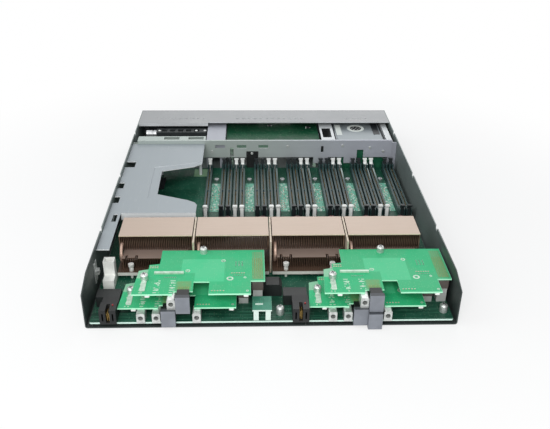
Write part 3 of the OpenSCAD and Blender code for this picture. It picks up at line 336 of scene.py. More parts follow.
@dataclass(frozen=True)
class Coat:
    """Paint or moulded plastic with a fine skin texture and lighter rubbed spots."""

    colour: Colour
    roughness: float = 0.5
    texture: float = 0.00002
    grain: float = 2400.0
    wear: float = 0.12
    metallic: float = 0.0
    top: Colour | None = None

    def make(self, name: str) -> bpy.types.Material:
        """Builds the material."""
        g = Graph(name)
        skin = g.noise(self.grain, 3)
        patch = g.noise(60, 5)
        rubbed = g.noise(700, 4).smooth(0.68, 0.8)
        colour = g.mix(patch.smooth(0.3, 0.7), toned(self.colour, 1 - self.wear),
                       toned(self.colour, 1 + self.wear, 0.004))
        # painted shade: faces that look up get a darker copy of the colour
        if self.top is not None:
            colour = g.mix(g.facing("Z") > 0.7, colour, self.top)
        colour = g.mix(rubbed * 0.15, colour, toned(self.colour, 1.6, 0.02))
        return g.finish(colour, (patch - 0.5) * 0.2 + self.roughness, self.metallic, skin, self.texture,
                        {"Specular IOR Level": 0.35})


@dataclass(frozen=True)
class BrightMetal:
    """Plated small metal parts: screws, guide sockets, clips."""

    colour: Colour = srgb(206, 208, 206)
    roughness: float = 0.28
    metallic: float = 0.85

    def make(self, name: str) -> bpy.types.Material:
        """Builds the material."""
        g = Graph(name)
        tarnish = g.noise(240, 5)
        marks = g.noise(3000, 2)
        pits = g.spots(1800, 0.22, 0.2)
        colour = g.mix(tarnish.smooth(0.35, 0.75), self.colour, toned(self.colour, 0.72))
        colour = g.mix(pits * 0.3, colour, toned(self.colour, 0.4))
        return g.finish(colour, tarnish * 0.25 + self.roughness, self.metallic, marks, 0.00001)


@dataclass(frozen=True)
class CircuitBoard:
    """Solder mask over copper tracks, with vias, flood areas and a pale cut edge."""

    mask: Colour
    track: Colour
    edge: Colour | None = srgb(196, 226, 206)
    pitch: float = 0.0011
    bay: float = 0.012
    share: float = 0.55
    via: float = 0.0023

    def tracks(self, g: Graph) -> tuple[Wire, Wire]:
        """Masks of the tracks and of the vias.

        Args:
            g: The material's graph.

        Returns:
            The mask of the tracks and the mask of the vias, from 0 to 1.
        """
        bend = (g.noise(70, 1) - 0.5) * 0.012
        column = ((g.x + bend) / self.bay).floor()
        row = ((g.y + bend) / self.bay).floor()
        cell = g.dice(g.vector(column, row, 1.0))
        along_x = ((g.y / self.pitch).fraction() - 0.5).absolute() < 0.2
        along_y = ((g.x / self.pitch).fraction() - 0.5).absolute() < 0.2
        turned = cell > 0.5
        lines = (along_x * (1 - turned)) | (along_y * turned)
        used = g.dice(g.vector(row, column, 7.0)) < self.share
        via_cell = g.dice(g.vector((g.x / self.via).floor(), (g.y / self.via).floor(), 3.0))
        u = (g.x / self.via).fraction() - 0.5
        v = (g.y / self.via).fraction() - 0.5
        dot = (u * u + v * v) < 0.03
        return lines * used, dot * (via_cell > 0.8)

    def close(self, g: Graph, base: Wire, lines: Wire, vias: Wire, flood: Wire) -> bpy.types.Material:
        """Adds the cut edge and the shader, which every board shares."""
        colour = base
        if self.edge is not None:
            colour = g.mix(g.facing("Z").absolute() < 0.5, base, self.edge)
        return g.finish(colour, 0.42 + flood * 0.14, 0.0, lines * 0.5 + flood * 0.4 + vias * 0.6,
                        0.00004, {"Specular IOR Level": 0.3})

    def make(self, name: str) -> bpy.types.Material:
        """Builds the material."""
        g = Graph(name)
        lines, vias = self.tracks(g)
        flood = g.noise(28, 2).smooth(0.48, 0.54)
        base = g.mix(flood * 0.3 + lines * 0.35, self.mask, self.track)
        base = g.mix((g.noise(9, 3) - 0.5) * 0.5 + 0.2, base, toned(self.mask, 0.8))
        base = g.mix(vias * 0.5, base, srgb(170, 190, 165))
        return self.close(g, base, lines, vias, flood)


@dataclass(frozen=True)
class CardBoard(CircuitBoard):
    """A mezzanine card: a lighter middle, brownish pin fields and tinned pads in columns."""

    middle: float = 0.0
    rear: float = 0.0
    light: Colour = srgb(84, 206, 150)
    pins: Colour = srgb(128, 136, 96)
    tin: Colour = srgb(190, 214, 196)
    pad_row: float = 0.0042
    pad_step: float = 0.0018
    pin_pitch: tuple[float, float] = (0.0024, 0.0021)

    def area(self, g: Graph, x0: float, x1: float, y0: float, y1: float, soft: float = 0.6) -> Wire:
        """Mask of a rectangle in millimetres from the card's middle and the rear edge."""
        return g.box_mask((self.middle + x0 * MM, self.middle + x1 * MM),
                          (self.rear + y0 * MM, self.rear + y1 * MM), soft * MM)

    def pads(self, g: Graph) -> Wire:
        """Mask of the short tinned pads in columns beside the guide sockets."""
        columns = self.area(g, -24, -18, 6, 32) | self.area(g, -8, -2, 8, 34) | self.area(g, -39, -34, 8, 20)
        row = ((g.y / self.pad_row).fraction() - 0.5).absolute() < 0.22
        cell = g.vector((g.x / self.pad_step).floor(), (g.y / self.pad_row).floor(), 2.0)
        broken = g.dice(cell) > 0.42
        return columns * row * broken

    def make(self, name: str) -> bpy.types.Material:
        """Builds the material."""
        g = Graph(name)
        lines, vias = self.tracks(g)
        flood = g.noise(26, 2).smooth(0.46, 0.56)
        base = g.mix(flood * 0.25 + lines * 0.22, self.mask, self.track)
        patch = self.area(g, 2, 48, 45, 72) | self.area(g, 17, 48, 29, 46)
        base = g.mix(patch * 0.6, base, self.light)
        step = self.area(g, -45, -33, 36, 52)
        base = g.mix(step * 0.45, base, self.tin)
        stripes = ((g.x / self.pin_pitch[0]).fraction() - 0.5).absolute() < 0.3
        dots = ((g.y / self.pin_pitch[1]).fraction() - 0.5).absolute() < 0.3
        field = self.area(g, 78, 89.5, 33, 86, 1.2)
        base = g.mix(field * (stripes * 0.25 + stripes * dots * 0.3 + 0.2), base, self.pins)
        gold = self.area(g, -1, 14, 13, 30, 2.0)
        base = g.mix(gold * (g.noise(300, 3) * 0.5 + 0.15), base, srgb(150, 128, 74))
        base = g.mix(self.pads(g) * 0.75, base, self.tin)
        base = g.mix(vias * 0.45, base, srgb(150, 205, 160))
        rim = self.area(g, -45.2, 75.7, 7.3, 200, 0.1) | self.area(g, 32, 90.7, 30.3, 200, 0.1)
        base = g.mix((1 - rim) * 0.7, base, srgb(170, 240, 205))
        return self.close(g, base, lines, vias, flood)


@dataclass(frozen=True)
class MainBoard(CircuitBoard):
    """The system board: pale strips between the memory banks, streaks by the rear edge."""

    strips: tuple[tuple[float, float], ...] = ()
    strip_y: tuple[float, float] = (0.0, 0.0)
    rear: float = 0.0
    pale: Colour = srgb(120, 196, 170)
    speck: tuple[float, float] = (0.0016, 0.0030)
    corner_x: tuple[float, float] = (-0.1035, -0.083)
    corner_y: tuple[float, float] = (0.338, 0.362)
    shore_y: tuple[float, float] = (0.030, 0.044)

    def make(self, name: str) -> bpy.types.Material:
        """Builds the material."""
        g = Graph(name)
        lines, vias = self.tracks(g)
        flood = g.noise(24, 2).smooth(0.48, 0.55)
        base = g.mix(flood * 0.3 + lines * 0.4, self.mask, self.track)
        base = g.mix(vias * 0.6, base, srgb(150, 175, 155))
        strip = g.y * 0
        for low, high in self.strips:
            strip = strip | g.box_mask((low, high), self.strip_y, 0.6 * MM)
        specks = g.dice(g.vector((g.x / self.speck[0]).floor(), (g.y / self.speck[1]).floor(), 5.0))
        pale = g.mix((specks > 0.84) * 0.8 + lines * 0.15, self.pale, srgb(228, 238, 230))
        pale = g.mix((specks < 0.14) * 0.55, pale, srgb(44, 84, 72))
        base = g.mix(strip * 0.92, base, pale)
        corner_y = (self.rear + self.corner_y[0], self.rear + self.corner_y[1])
        corner = g.box_mask(self.corner_x, corner_y, 0.6 * MM)
        base = g.mix(corner * 0.75, base, srgb(150, 196, 150))
        shore = 1 - g.y.smooth(self.rear + self.shore_y[0], self.rear + self.shore_y[1])
        streak = g.noise(1, 3, (24.0, 900.0, 10.0)).smooth(0.5, 0.62)
        base = g.mix(shore * streak * 0.4, base, srgb(92, 150, 128))
        base = g.mix(shore * (1 - streak) * 0.3, base, srgb(16, 34, 28))
        return self.close(g, base, lines, vias, flood)


@dataclass(frozen=True)
class MemoryPlastic:
    """Near-black moulding of the memory sockets, with a painted highlight along the rail tops of the
    white-latched sockets towards their far ends.
    """

    glint_at: tuple[float, ...]
    far_end: float
    reach: float = 62 * MM
    colour: Colour = srgb(24, 33, 33)

    def make(self, name: str) -> bpy.types.Material:
        """Builds the material."""
        g = Graph(name)
        patch = g.noise(90, 4)
        flow = g.noise(1, 3, (900.0, 14.0, 900.0))
        colour = g.mix(patch * 0.5 + flow * 0.4, self.colour, srgb(52, 84, 84))
        # painted highlight: a pale glint on the up-facing rail tops of the white-latched sockets, stronger
        # to the right and fading away from the far end
        painted_glint = g.y * 0
        for place in self.glint_at:
            strength = min(max((place + 0.03) / 0.16, 0.12), 0.8)
            rail = g.x.between(place + 1.5 * MM, place + 3.4 * MM)
            painted_glint = painted_glint | rail * strength
        along = g.y.smooth(self.far_end - self.reach, self.far_end - 12 * MM)
        up = g.facing("Z") > 0.5
        colour = g.mix(painted_glint * along * up * flow.smooth(0.35, 0.6), colour, srgb(214, 226, 222))
        return g.finish(colour, 0.34 + patch * 0.2, 0.0, flow, 0.00002, {"Specular IOR Level": 0.45})


@dataclass(frozen=True)
class FinStack:
    """Plated copper heatsink: tan decks, browner fins, bright base plate."""

    base_top: float
    low_deck: float
    top_deck: float
    deck: Colour = srgb(184, 166, 152)
    low: Colour = srgb(150, 132, 122)
    fins: Colour = srgb(84, 64, 52)
    base: Colour = srgb(238, 236, 230)
    fin_pitch: float = 0.002

    def make(self, name: str) -> bpy.types.Material:
        """Builds the material."""
        g = Graph(name)
        brushed = g.noise(1, 4, (30.0, 900.0, 900.0))
        blotch = g.noise(34, 4)
        up = g.facing("Z") > 0.6
        is_deck = up * (g.z > self.low_deck)
        # painted highlight: faces of the top deck's edge that look towards -Y
        lip = (g.z > self.top_deck) * (g.facing("Y") < -0.6)
        band = g.z.smooth(self.low_deck + 0.005, self.low_deck + 0.008) * (1 - g.z.smooth(
            self.top_deck - 0.007, self.top_deck - 0.004))
        comb = ((g.x / self.fin_pitch).fraction() - 0.5).absolute().smooth(0.2, 0.45)
        fins = g.mix(band * 0.35 + comb * 0.2, self.fins, srgb(150, 128, 110))
        tone = brushed * 0.5 + blotch * 0.5
        deck = g.mix(tone, toned(self.deck, 0.84), toned(self.deck, 1.1))
        deck = g.mix(g.z > self.top_deck - 2 * MM, self.low, deck)
        colour = g.mix(is_deck, fins, deck)
        # painted highlight: a bright cream line on that edge
        colour = g.mix(lip, colour, srgb(240, 224, 196))
        colour = g.mix(g.z < self.base_top, colour, self.base)
        return g.finish(colour, 0.42 + (blotch - 0.5) * 0.2, 0.35, brushed, 0.00002)


# ------------------------------------------------------------------ modelling helpers


def deselect() -> None:
    """Leaves nothing selected, in object mode."""
    if bpy.context.object is not None and bpy.context.object.mode != "OBJECT":
        bpy.ops.object.mode_set(mode="OBJECT")
    bpy.ops.object.select_all(action="DESELECT")


def select_only(piece: bpy.types.Object) -> None:
    """Leaves one piece selected and active."""
    deselect()
    piece.select_set(True)
    bpy.context.view_layer.objects.active = piece


def settle(piece: bpy.types.Object, name: str) -> bpy.types.Object:
    """Names a piece and moves its place into its mesh.

    Args:
        piece: The object.
        name: Its new name.

    Returns:
        The same object, at the origin.
    """
    piece.name = name
    piece.data.name = name
    select_only(piece)
    bpy.ops.object.transform_apply(location=True, rotation=True, scale=True)
    deselect()
    return piece


def copies(pattern: bpy.types.Object, places: Iterable[Matrix], name: str) -> bpy.types.Object:
    """Copies a piece to many places and joins the copies.

    Args:
        pattern: The piece to copy. It is removed.
        places: The transform of each copy.
        name: Name of the joined piece.

    Returns:
        The joined piece.
    """
    deselect()
    made = []
    for place in places:
        mesh = pattern.data.copy()
        mesh.transform(place)
        one = bpy.data.objects.new(name, mesh)
        bpy.context.scene.collection.objects.link(one)
        one.select_set(True)
        made.append(one)
    bpy.context.view_layer.objects.active = made[0]
    if len(made) > 1:
        bpy.ops.object.join()
    bpy.data.objects.remove(pattern)
    return settle(made[0], name)


def dress(piece: bpy.types.Object, material: bpy.types.Material) -> None:
    """Gives a piece one material."""
    piece.data.materials.clear()
    piece.data.materials.append(material)


# ------------------------------------------------------------------ small parts


def bevelled(piece: bpy.types.Object, width: float) -> bpy.types.Object:
    """Rounds the sharp edges of a piece by a width in metres."""
    edges = piece.modifiers.new("edges", "BEVEL")
    edges.width = width
    edges.segments = 2
    edges.limit_method = "ANGLE"
    bpy.context.view_layer.objects.active = piece
    bpy.ops.object.modifier_apply(modifier=edges.name)
    return piece


def brick(size: Vector, bevel: float, name: str) -> bpy.types.Object:
    """A block with rounded edges that stands on z = 0, about the origin.

    Args:
        size: Its width, depth and height.
        bevel: Width of its rounded edges.
        name: Its name.

    Returns:
        The block.
    """
    deselect()
    bpy.ops.mesh.primitive_cube_add(size=1)
    block = bpy.context.object
    block.scale = size
    block.location = (0, 0, size.z / 2)
    return bevelled(settle(block, name), bevel)


def merge(parts: Sequence[bpy.types.Object], name: str) -> bpy.types.Object:
    """Joins pieces into one."""
    deselect()
    for part in parts:
        part.select_set(True)
    bpy.context.view_layer.objects.active = parts[0]
    if len(parts) > 1:
        bpy.ops.object.join()
    return settle(parts[0], name)


def row(piece: bpy.types.Object, count: int, step: Vector) -> bpy.types.Object:
    """Repeats a piece in a straight row.

    Args:
        piece: The piece, which becomes the whole row.
        count: How many there are in the end.
        step: From one to the next.

    Returns:
        The row.
    """
    array = piece.modifiers.new("row", "ARRAY")
    array.count = count
    array.use_relative_offset = False
    array.use_constant_offset = True
    array.constant_offset_displace = step
    select_only(piece)
    bpy.ops.object.modifier_apply(modifier=array.name)
    return piece


def washer(inner: float, outer: float, height: float, name: str, sides: int = 20) -> bpy.types.Object:
    """A flat ring that stands on z = 0, about the origin.

    Args:
        inner, outer: Its radii.
        height: Its thickness.
        name: Its name.
        sides: Corners of each circle.

    Returns:
        The ring.
    """
    deselect()
    bpy.ops.mesh.primitive_circle_add(vertices=sides, radius=inner, fill_type="NOTHING")
    ring = bpy.context.object
    bpy.ops.object.mode_set(mode="EDIT")
    bpy.ops.mesh.select_all(action="SELECT")
    bpy.ops.mesh.extrude_edges_move()
    bpy.ops.transform.resize(value=(outer / inner, outer / inner, 1))
    bpy.ops.mesh.select_all(action="SELECT")
    bpy.ops.mesh.extrude_region_move(TRANSFORM_OT_translate={"value": (0, 0, height)})
    bpy.ops.mesh.select_all(action="SELECT")
    bpy.ops.mesh.normals_make_consistent(inside=False)
    bpy.ops.object.mode_set(mode="OBJECT")
    return settle(ring, name)


def disc(radius: float, height: float, name: str, sides: int = 24) -> bpy.types.Object:
    """A flat round plate with a bevelled top edge that stands on z = 0."""
    deselect()
    bpy.ops.mesh.primitive_cylinder_add(vertices=sides, radius=radius, depth=height,
                                        location=(0, 0, height / 2))
    return bevelled(settle(bpy.context.object, name), min(height, radius) * 0.3)


def dome(radius: float, height: float, name: str) -> bpy.types.Object:
    """A low round cap on z = 0, cut from a flattened ball."""
    deselect()
    bpy.ops.mesh.primitive_uv_sphere_add(segments=24, ring_count=12, radius=radius)
    cap = bpy.context.object
    cap.scale = (1, 1, height / radius)
    select_only(settle(cap, name))
    bpy.ops.object.mode_set(mode="EDIT")
    bpy.ops.mesh.select_all(action="SELECT")
    bpy.ops.mesh.bisect(plane_co=(0, 0, 0), plane_no=(0, 0, 1), use_fill=True, clear_inner=True)
    bpy.ops.object.mode_set(mode="OBJECT")
    return settle(cap, name)


def at(x: float, y: float, z: float) -> Matrix:
    """A place as a transform."""
    return Matrix.Translation((x, y, z))


@dataclass
class SpringCoil:
    """A compression spring round a heatsink screw."""

    radius: float = 2.1 * MM
    wire: float = 0.34 * MM
    height: float = 4.0 * MM
    turns: float = 4.5
    steps: int = 14

    def build(self) -> bpy.types.Object:
        """Winds the spring about the origin, upwards from z = 0.

        Returns:
            The spring.
        """
        curve = bpy.data.curves.new("coil", "CURVE")
        curve.dimensions = "3D"
        curve.bevel_depth = self.wire
        curve.bevel_resolution = 2
        curve.use_fill_caps = True
        line = curve.splines.new("POLY")
        count = int(self.turns * self.steps)
        line.points.add(count)
        for i in range(count + 1):
            turn = i / self.steps * 2 * math.pi
            climb = min(max((i / self.steps - 0.75) / (self.turns - 1.5), 0.0), 1.0)
            line.points[i].co = (self.radius * math.cos(turn), self.radius * math.sin(turn),
                                 self.wire + climb * (self.height - 2 * self.wire), 1)
        coil = bpy.data.objects.new("coil", curve)
        bpy.context.scene.collection.objects.link(coil)
        deselect()
        coil.select_set(True)
        bpy.context.view_layer.objects.active = coil
        bpy.ops.object.convert(target="MESH")
        return settle(bpy.context.object, "coil")


@dataclass
class EndCapPart:
    """A small two-ended part, such as a capacitor: a body between two tinned ends."""

    length: float
    width: float
    height: float

    def body(self) -> bpy.types.Object:
        """The middle of the part."""
        return brick(Vector((self.length * 0.6, self.width, self.height)), 0.08 * MM, "body")

    def ends(self) -> bpy.types.Object:
        """The tinned ends."""
        end = brick(Vector((self.length * 0.22, self.width * 1.03, self.height * 1.04)), 0.06 * MM, "end")
        reach = self.length * 0.39
        return copies(end, [at(-reach, 0, 0), at(reach, 0, 0)], "ends")


@dataclass
class FlatChip:
    """A moulded chip with a row of bent legs on two sides."""

    width: float
    depth: float
    height: float = 1.6 * MM
    pitch: float = 1.27 * MM

    def body(self) -> bpy.types.Object:
        """The black body, a little above the board."""
        block = brick(Vector((self.width, self.depth, self.height - 0.1 * MM)), 0.15 * MM, "body")
        block.location = (0, 0, 0.1 * MM)
        return settle(block, "body")

    def legs(self) -> bpy.types.Object:
        """The bright legs along both long sides."""
        count = max(int((self.depth - 0.6 * MM) / self.pitch), 2)
        leg = brick(Vector((1.3 * MM, 0.42 * MM, 0.35 * MM)), 0.08 * MM, "leg")
        leg.location = (0, -(count - 1) / 2 * self.pitch, 0)
        legs = row(settle(leg, "leg"), count, Vector((0, self.pitch, 0)))
        reach = self.width / 2 + 0.45 * MM
        return copies(legs, [at(-reach, 0, 0), at(reach, 0, 0)], "legs")


# ------------------------------------------------------------------ studio


@dataclass
class Studio:
    """Floor, lamps, world and camera."""

    sight: Vector = field(default_factory=lambda: Vector((-0.02205, -0.83239, 0.46374)))
    yaw: float = 2.212
    pitch: float = 29.299
    roll: float = 0.769
    lens: float = 46.88
    sensor: float = 36.0
    sky: float = 0.42
    target: Vector = field(default_factory=lambda: Vector((0, 0, 0.02)))
    lamps: tuple[tuple[str, Colour, float, float, Colour], ...] = (
        ("key", (-0.2, -1.35, 1.0), 1.0, 17, (1, 0.99, 0.97)),
        ("fill", (-1.2, -0.2, 1.1), 1.2, 6, (0.97, 0.99, 1)),
        ("back", (0.3, 1.4, 1.0), 1.4, 7, (1, 1, 1)))

    def camera(self) -> None:
        """Sets the camera that the part is looked at from."""
        data = bpy.data.cameras.new("camera")
        data.lens = self.lens
        data.sensor_width = self.sensor
        data.clip_start = 0.01
        data.clip_end = 50
        camera = bpy.data.objects.new("camera", data)
        bpy.context.scene.collection.objects.link(camera)
        yaw, pitch, roll = (math.radians(v) for v in (self.yaw, self.pitch, self.roll))
        ahead = Vector((math.sin(yaw) * math.cos(pitch), math.cos(yaw) * math.cos(pitch),
                        -math.sin(pitch)))
        right = Vector((math.cos(yaw), -math.sin(yaw), 0))
        up = right.cross(ahead)
        turned_right = right * math.cos(roll) + up * math.sin(roll)
        turned_up = up * math.cos(roll) - right * math.sin(roll)
        turn = Matrix((turned_right, turned_up, -ahead)).transposed()
        camera.matrix_world = Matrix.Translation(self.sight) @ turn.to_4x4()
        bpy.context.scene.camera = camera

    def world(self) -> None:
        """White to the camera and in reflections, softer as light."""
        world = bpy.data.worlds.new("studio")
        world.use_nodes = True
        tree = world.node_tree
        tree.nodes.clear()
        paths = tree.nodes.new("ShaderNodeLightPath")

        def either(first: bpy.types.NodeSocket, second: bpy.types.NodeSocket) -> bpy.types.NodeSocket:
            """1 where one of two kinds of ray arrives."""
            larger = tree.nodes.new("ShaderNodeMath")
            larger.operation = "MAXIMUM"
            tree.links.new(first, larger.inputs[0])
            tree.links.new(second, larger.inputs[1])
            return larger.outputs[0]

        def background(colour: Colour, strength: float) -> bpy.types.Node:
            """A plain sky."""
            sky = tree.nodes.new("ShaderNodeBackground")
            sky.inputs["Color"].default_value = (*colour, 1)
            sky.inputs["Strength"].default_value = strength
            return sky

        seen = either(paths.outputs["Is Camera Ray"],
                      either(paths.outputs["Is Glossy Ray"], paths.outputs["Is Transmission Ray"]))
        white = background((1, 1, 1), 1.0)
        soft = background((0.93, 0.97, 1), self.sky)
        blend = tree.nodes.new("ShaderNodeMixShader")
        tree.links.new(seen, blend.inputs[0])
        tree.links.new(soft.outputs[0], blend.inputs[1])
        tree.links.new(white.outputs[0], blend.inputs[2])
        out = tree.nodes.new("ShaderNodeOutputWorld")
        tree.links.new(blend.outputs[0], out.inputs["Surface"])
        bpy.context.scene.world = world

    def lamp(self, name: str, place: Colour, width: float, power: float, colour: Colour) -> None:
        """Adds a soft area lamp that points at the part.

        Args:
            name: Its name.
            place: Where it hangs.
            width: Side of the square panel in metres.
            power: Power in watts.
            colour: Its colour.
        """
        data = bpy.data.lights.new(name, "AREA")
        data.shape = "SQUARE"
        data.size = width
        data.energy = power
        data.color = colour
        lamp = bpy.data.objects.new(name, data)
        bpy.context.scene.collection.objects.link(lamp)
        lamp.location = place
        lamp.rotation_mode = "QUATERNION"
        lamp.rotation_quaternion = (self.target - Vector(place)).to_track_quat("-Z", "Y")

    def floor(self) -> None:
        """Lays a pale floor that keeps a faint shadow and shows white elsewhere."""
        deselect()
        bpy.ops.mesh.primitive_plane_add(size=14, location=(0, 0, -0.0006))
        plane = settle(bpy.context.object, "floor")
        g = Graph("floor_white")
        rays = g.node("ShaderNodeLightPath", {}, {})
        seen = rays["Is Camera Ray"] | rays["Is Transmission Ray"] | rays["Is Glossy Ray"]
        matt = g.node("ShaderNodeBsdfDiffuse", {}, {"Color": (0.9, 0.9, 0.9)})
        glow = g.node("ShaderNodeEmission", {}, {"Color": (1, 1, 1), "Strength": 1.0})
        far = g.node("ShaderNodeVectorMath", {"operation": "LENGTH"}, {0: g.place})["Value"]
        share = seen * (far.smooth(0.25, 0.62) * 0.35 + 0.65)
        both = g.node("ShaderNodeMixShader", {}, {0: share, 1: matt["BSDF"], 2: glow["Emission"]})
        g.node("ShaderNodeOutputMaterial", {}, {"Surface": both["Shader"]})
        dress(plane, g.material)

    def build(self) -> None:
        """Sets up everything round the part."""
        self.camera()
        self.world()
        self.floor()
        for row_of_lamp in self.lamps:
            self.lamp(*row_of_lamp)
        bpy.context.scene.view_settings.view_transform = "Standard"


# ------------------------------------------------------------------ the part


def finishes() -> dict[str, object]:
    """The finish of each material slot that needs no place from the frame."""
    return {
        # tray_steel: painted shade towards the near end
        "tray_steel": SheetSteel(srgb(112, 122, 120), Grain.ALONG, 0.45, 0.2, near=srgb(44, 52, 51)),
        "panel_paint": Coat(srgb(92, 95, 98), 0.5),
        # strip_steel and plate_steel: painted highlight on faces that look towards -Y
        "strip_steel": SheetSteel(srgb(150, 152, 154), Grain.ACROSS, 0.45, 0.2,
                                  front_highlight=srgb(214, 217, 220)),
        "member_steel": SheetSteel(srgb(168, 178, 174), Grain.ACROSS, 0.42, 0.2,
                                   right=srgb(172, 174, 186)),
        "plate_steel": SheetSteel(srgb(150, 158, 163), Grain.ALONG, 0.45, 0.15, 0.06,
                                  front_highlight=srgb(244, 248, 250)),
        "cage_steel": SheetSteel(srgb(196, 200, 202), Grain.ALONG, 0.4, 0.3),
        "latch_grey": SheetSteel(srgb(160, 163, 172), Grain.ALONG, 0.45, 0.15, 0.06),
        "pocket_plastic": Coat(srgb(38, 42, 44), 0.55),
        "control_green": CircuitBoard(srgb(16, 70, 46), srgb(26, 92, 60)),
        "backplane_green": CircuitBoard(srgb(24, 84, 60), srgb(40, 108, 80), edge=None),
        "stack_brown": Coat(srgb(92, 84, 80), 0.5),
        "stack_pale": Coat(srgb(176, 178, 176), 0.5),
        "housing_black": Coat(srgb(26, 28, 29), 0.45),
        # cap_grey: painted shade, a darker grey on the faces that look up
        "cap_grey": Coat(srgb(126, 130, 138), 0.5, 0.00003, 2000, top=srgb(70, 73, 78)),
        "nickel": BrightMetal(srgb(214, 217, 215), 0.28, 0.7),
        "bus_black": Coat(srgb(30, 34, 34), 0.42),
        "strap_pale": BrightMetal(srgb(196, 220, 202), 0.35, 0.3),
        "post_white": Coat(srgb(230, 232, 228), 0.4),
        "sense_green": CircuitBoard(srgb(60, 128, 106), srgb(104, 170, 146), srgb(214, 230, 222)),
        "pipe_copper": BrightMetal(srgb(206, 176, 160), 0.34, 0.5),
        "spring_white": BrightMetal(srgb(240, 240, 237), 0.3, 0.35),
        "divider_steel": BrightMetal(srgb(206, 192, 174), 0.4, 0.3),
        "socket_dark": Coat(srgb(44, 44, 44), 0.5),
        "lid_nickel": BrightMetal(srgb(188, 188, 184), 0.3, 0.8),
        "latch_white": Coat(srgb(236, 238, 236), 0.4),
        "latch_black": Coat(srgb(28, 34, 36), 0.4),
        "handle_grey": Coat(srgb(66, 70, 74), 0.42, 0.00002, 1800),
        "button_blue_grey": Coat(srgb(98, 112, 126), 0.45),
        "button_dark": Coat(srgb(64, 70, 76), 0.45),
        "light_clear": Coat(srgb(186, 214, 230), 0.2),
        "carrier_dark": Coat(srgb(48, 51, 54), 0.5),
        "lever_silver": Coat(srgb(142, 146, 150), 0.4, 0.00002, 1800, 0.1, 0.3),
        "drive_alloy": SheetSteel(srgb(140, 148, 152), Grain.NONE, 0.4, 0.3, 0.14),
        "choke_red": Coat(srgb(74, 36, 38), 0.45),
        "chip_black": Coat(srgb(40, 43, 46), 0.42),
        "header_white": Coat(srgb(240, 241, 237), 0.42),
        "screw_zinc": BrightMetal(srgb(206, 208, 210), 0.32, 0.7),
        "key_red": Coat(srgb(150, 40, 44), 0.45),
        "ceramic_tan": Coat(srgb(196, 178, 148), 0.5),
        "gold": BrightMetal(srgb(196, 164, 96), 0.34, 0.8),
        "label_pale": Coat(srgb(216, 222, 218), 0.55, 0.00001, 900, 0.05),
    }


@dataclass
class Layout:
    """Places on the frame, in metres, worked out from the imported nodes."""

    bank_pitch: float = 46.7 * MM
    first_pair: float = -84.7 * MM
    slot_pitch: float = 8.9 * MM
    strip_half: float = 6.0 * MM
    card_zero: float = 45.5 * MM
    banks: int = 6
    rear: float = field(default_factory=lambda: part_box("base_tray")[0].y)

    def strips(self) -> list[float]:
        """Middles of the bare strips of board between the memory banks."""
        return [self.first_pair + (k + 0.5) * self.bank_pitch - self.slot_pitch
                for k in range(self.banks)]

    def white_sockets(self) -> list[float]:
        """Middles of the sockets with white latches."""
        both = [self.first_pair + k * self.bank_pitch + side * self.slot_pitch / 2
                for k in range(self.banks) for side in (-1, 1)]
        return both[1:]

    def black_sockets(self) -> list[float]:
        """Middles of the sockets with black latches."""
        return [self.first_pair + k * self.bank_pitch - step * self.slot_pitch
                for k in range(1, self.banks + 1) for step in (2.5, 1.5)]

    def card_middle(self, node: str) -> float:
        """Where a card's own zero lies across the frame."""
        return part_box(node)[0].x + self.card_zero


@dataclass
class BladeServer:
    """The whole part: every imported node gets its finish, then the small pieces are added."""

    frame: dict
    layout: Layout = field(default_factory=Layout)
    plain: dict[str, object] = field(default_factory=finishes)
    materials: dict[str, bpy.types.Material] = field(default_factory=dict)
    strip_margins: tuple[float, float] = (22 * MM, 42 * MM)
    sink_heights: tuple[float, float, float] = (4 * MM, 16 * MM, 0.95 * MM)

    def finish(self, slot: str) -> bpy.types.Material:
        """The material of a slot, made when it is first asked for."""
        if slot not in self.materials:
            self.materials[slot] = self.plain[slot].make(slot)
        return self.materials[slot]

    def place_finishes(self) -> None:
        """Adds the finishes whose patterns are placed from the frame."""
        layout = self.layout
        sockets_low, sockets_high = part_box("dimm_sockets_right")
        strips = tuple((x - layout.strip_half, x + layout.strip_half) for x in layout.strips())
        strip_y = (sockets_low.y + self.strip_margins[0], sockets_high.y - self.strip_margins[1])
        self.plain["board_green"] = MainBoard(
            srgb(22, 74, 56), srgb(40, 104, 82), srgb(206, 232, 222), strips=strips,
            strip_y=strip_y, rear=layout.rear)
        # dimm_black carries a painted highlight on the rails of the white-latched sockets
        self.plain["dimm_black"] = MemoryPlastic(tuple(layout.white_sockets()), sockets_high.y)
        low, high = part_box("heatsink_1")
        base, low_deck, lip = self.sink_heights
        self.plain["sink_copper"] = FinStack(low.z + base, low.z + low_deck, high.z - lip)

    def finish_nodes(self) -> None:
        """Assigns each node the material of its slot."""
        self.place_finishes()
        slots = {row["node"]: row["material_slot"] for row in self.frame["record"]["subparts"]}
        for node, slot in slots.items():
            if slot == "card_green":
                card = CardBoard(srgb(46, 176, 118), srgb(66, 196, 138), srgb(176, 244, 206),
                                 middle=self.layout.card_middle(node), rear=self.layout.rear)
                material = card.make(f"{node}_green")
            elif node == "drive_backplane":
                material = self.finish("backplane_green")
            else:
                material = self.finish(slot)
            dress(self.frame["nodes"][node], material)
        log.info("%d nodes dressed", len(slots))

    def add(self, piece: bpy.types.Object, slot: str, record_slot: str | None = None,
            body: str = "chassis") -> None:
        """Dresses a new piece, and lets it ride on a body.

        Args:
            piece: The piece.
            slot: Its finish.
            record_slot: The record's slot, where it isn't the finish's own name. It is not used.
            body: The body that it moves with.
        """
        dress(piece, self.finish(slot))
        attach(piece, body)
        log.info("%s rides on %s", piece.name, body)

    def place(self, pattern: bpy.types.Object, places: Iterable[Matrix], name: str, slot: str,
              record_slot: str | None = None, body: str = "chassis") -> None:
        """Copies a pattern to its places and adds the copies as one piece."""
        self.add(copies(pattern, places, name), slot, record_slot, body)


